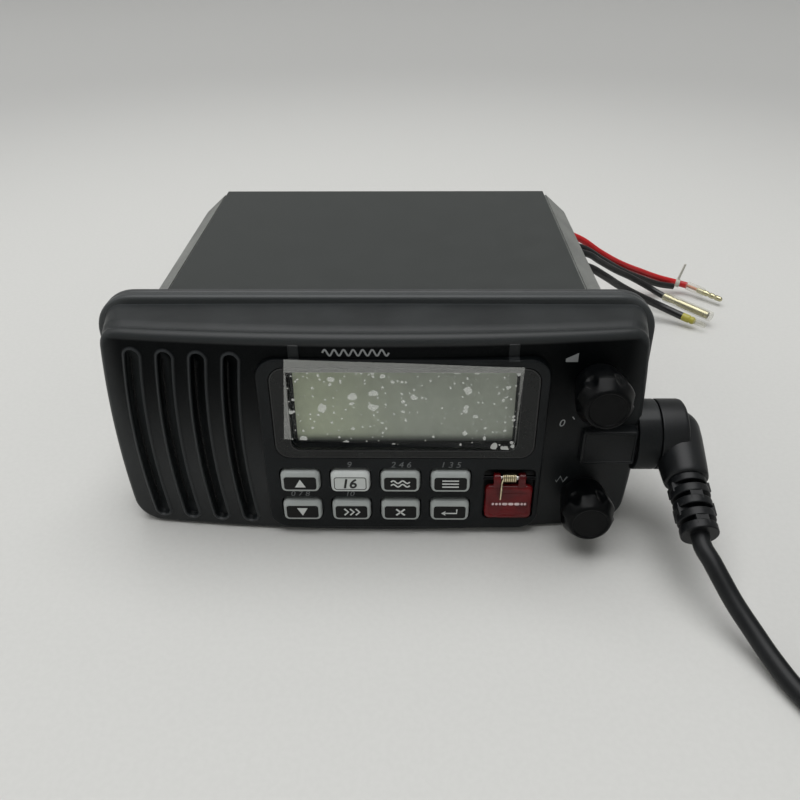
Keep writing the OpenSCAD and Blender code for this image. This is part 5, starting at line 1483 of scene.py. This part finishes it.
# %% Chassis finishes
cast_paint = Finish("cast_paint", rgb(112, 114, 113), 0.5, metallic=0.25)
pits, lumps, drift = cast_paint.noise(0.55, 3, 0.7), cast_paint.noise(1.7, 2, 0.6), cast_paint.noise(18, 2)
cast_tone = (pits * 0.7 + drift * 0.3).fade(0.34, 0.66)
cast_paint.put("Base Color", cast_paint.mix(cast_tone, rgb(80, 82, 80), rgb(138, 140, 136)))
cast_paint.put("Roughness", 0.42 + (pits - 0.5) * 0.3)
cast_paint.bump(pits * 0.6 + lumps * 0.4, 0.14)
cover_paint = worn("cover_paint", rgb(48, 51, 50), 0.5, grain=0.45, depth=0.012, spread=0.06, tint=0.05,
                   specular_ior_level=0.35)
zinc = worn("screw_zinc", rgb(178, 178, 172), 0.32, grain=0.6, depth=0.01, metallic=1.0)
brass = worn("insert_brass", rgb(200, 165, 95), 0.3, grain=0.6, depth=0.01, metallic=1.0)
nickel = worn("socket_nickel", rgb(200, 200, 196), 0.26, grain=0.7, depth=0.012, metallic=1.0)
for node, finish, slot, width in (
    ("chassis_casting", cast_paint, "cast_paint", 0.4), ("top_cover", cover_paint, "cover_paint", 0.3),
    ("antenna_socket", nickel, "socket_nickel", 0.2), ("lead_grommet", rubber, "grommet_rubber", 0.5),
    ("cover_screws", zinc, "screw_steel", 0.25), ("bracket_inserts", brass, "insert_brass", 0.2),
):
    softened(node, finish, slot, width, split=node == "chassis_casting")

# %% [markdown]
# The antenna's plug screws onto a fine thread. A thread can be cut, but from a step
# away it is a thin ridge on a spiral, so the coil of the spring serves again.

# %% Thread on the antenna socket
SOCKET_END = (-40, 59.2, 34)
thread = coil_of(Tree("socket_thread", nickel, turns=11.0, radius=7.78, length=11.0, wire=0.17), 6, 32)
settle(thread, Matrix.Translation(SOCKET_END) @ Matrix.Rotation(radians(90), 4, "X"))
shaded(thread, 60, False)
placed(thread, "radio", "socket_nickel")

# %% [markdown]
# The microphone is held in the hand, so its plastic is finely grained, and its gloss
# drifts a little. Its talk bar is softer rubber.

# %% Hand microphone
mic_plastic = worn("mic_plastic", rgb(38, 40, 42), 0.46, grain=0.4, depth=0.035, spread=0.1, tint=0.16)
talk_rubber = worn("talk_rubber", rgb(30, 32, 34), 0.6, grain=0.5, depth=0.03)
for node, finish, slot, width in (
    ("mic_front_case", mic_plastic, "mic_plastic", 0.35), ("mic_back_case", mic_plastic, "mic_plastic", 0.4),
    ("mic_talk_bar", talk_rubber, "talk_rubber", 0.5), ("mic_gland", cord_black, "plug_rubber", 0.3),
    ("mic_hanger", nickel, "screw_steel", 0.25), ("mic_screws", zinc, "screw_steel", 0.2),
    ("mic_socket", plug_rubber, "plug_rubber", 0.3),
):
    softened(node, finish, slot, width)

# %% [markdown]
# Seven low ribs let a wet thumb find the talk bar. They are upright rods, sunk into
# the bar until only their fronts stand out, and they move with it.

# %% Grip ribs on the talk bar
GRIPS, GRIP_PITCH, GRIP_IN = 7, 3.4, 1.12
tree = Tree("talk_ribs", talk_rubber, ribs=GRIPS, pitch=GRIP_PITCH, width=1.1, height=6.0)
rib = tree.add("GeometryNodeMeshCylinder", links={
    "Vertices": 16, "Radius": tree.size("width"), "Depth": tree.size("height")})
grips = row_of(tree, rib, 1)
talk_low, talk_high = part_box("mic_talk_bar")
middle_y, middle_z = (talk_low.y + talk_high.y) / 2 / MM, (talk_low.z + talk_high.z) / 2 / MM
first_y = middle_y - (GRIPS - 1) / 2 * GRIP_PITCH
settle(grips, Matrix.Translation((talk_low.x / MM + GRIP_IN, first_y, middle_z)))
shaded(grips, 50, False)
placed(grips, "talk_bar", "talk_rubber")
print("talk bar from", [round(c / MM, 1) for c in talk_low], "to", [round(c / MM, 1) for c in talk_high])

# %% [markdown]
# The inner pieces hardly show, but each has its own finish: woven cloth behind the
# slots, a paper cone in a pressed frame, green boards, tinned steel and silicone.

# %% Inner finishes
cloth = Finish("grille_cloth", rgb(14, 15, 15), 0.9)
x, y, z = cloth.places()
weave = (x * 7.8).math("SINE") * 0.5 + (z * 7.8).math("SINE") * 0.5
cloth.put("Base Color", cloth.mix(weave.fade(-0.7, 0.9), rgb(8, 8, 9), rgb(24, 25, 25)))
cloth.bump(weave, 0.08)
frame_steel = worn("frame_steel", rgb(130, 131, 130), 0.38, grain=0.8, depth=0.012, metallic=1.0)
cone_paper = worn("cone_paper", rgb(34, 33, 32), 0.85, grain=0.7, depth=0.05, tint=0.2)
silicone = worn("mat_silicone", rgb(176, 174, 166), 0.6, grain=0.5)
shaft_steel = worn("shaft_steel", rgb(186, 187, 188), 0.24, grain=0.5, depth=0.008, metallic=1.0)
control_black = worn("control_black", rgb(70, 72, 76), 0.5, grain=0.5)
module_black = worn("module_black", rgb(30, 30, 32), 0.55, grain=0.4, depth=0.02)
can_tin = worn("can_tin", rgb(196, 198, 198), 0.25, grain=2.5, depth=0.02, metallic=1.0)
board = Finish("board_green", rgb(24, 84, 46), 0.35)
x, y, z = board.places()
tracks = board.noise(2.2, 4, 0.8)
board.put("Base Color", board.mix((abs(tracks - 0.5) * 2).fade(0.02, 0.06), rgb(44, 118, 66), rgb(20, 76, 42)))
board.put("Roughness", 0.3 + tracks * 0.15)
INNER = {
    "grille_cloth": cloth, "speaker_frame": frame_steel, "speaker_cone": cone_paper, "keypad_mat": silicone,
    "front_board": board, "main_board": board, "volume_shaft": shaft_steel, "squelch_shaft": shaft_steel,
    "volume_control": control_black, "squelch_control": control_black, "power_module": module_black,
    "shield_can": can_tin, "front_screws": zinc,
}
for node, finish in INNER.items():
    for slot in nodes[node].material_slots:
        slot.material = finish.material
    nodes[node].data.shade_smooth()
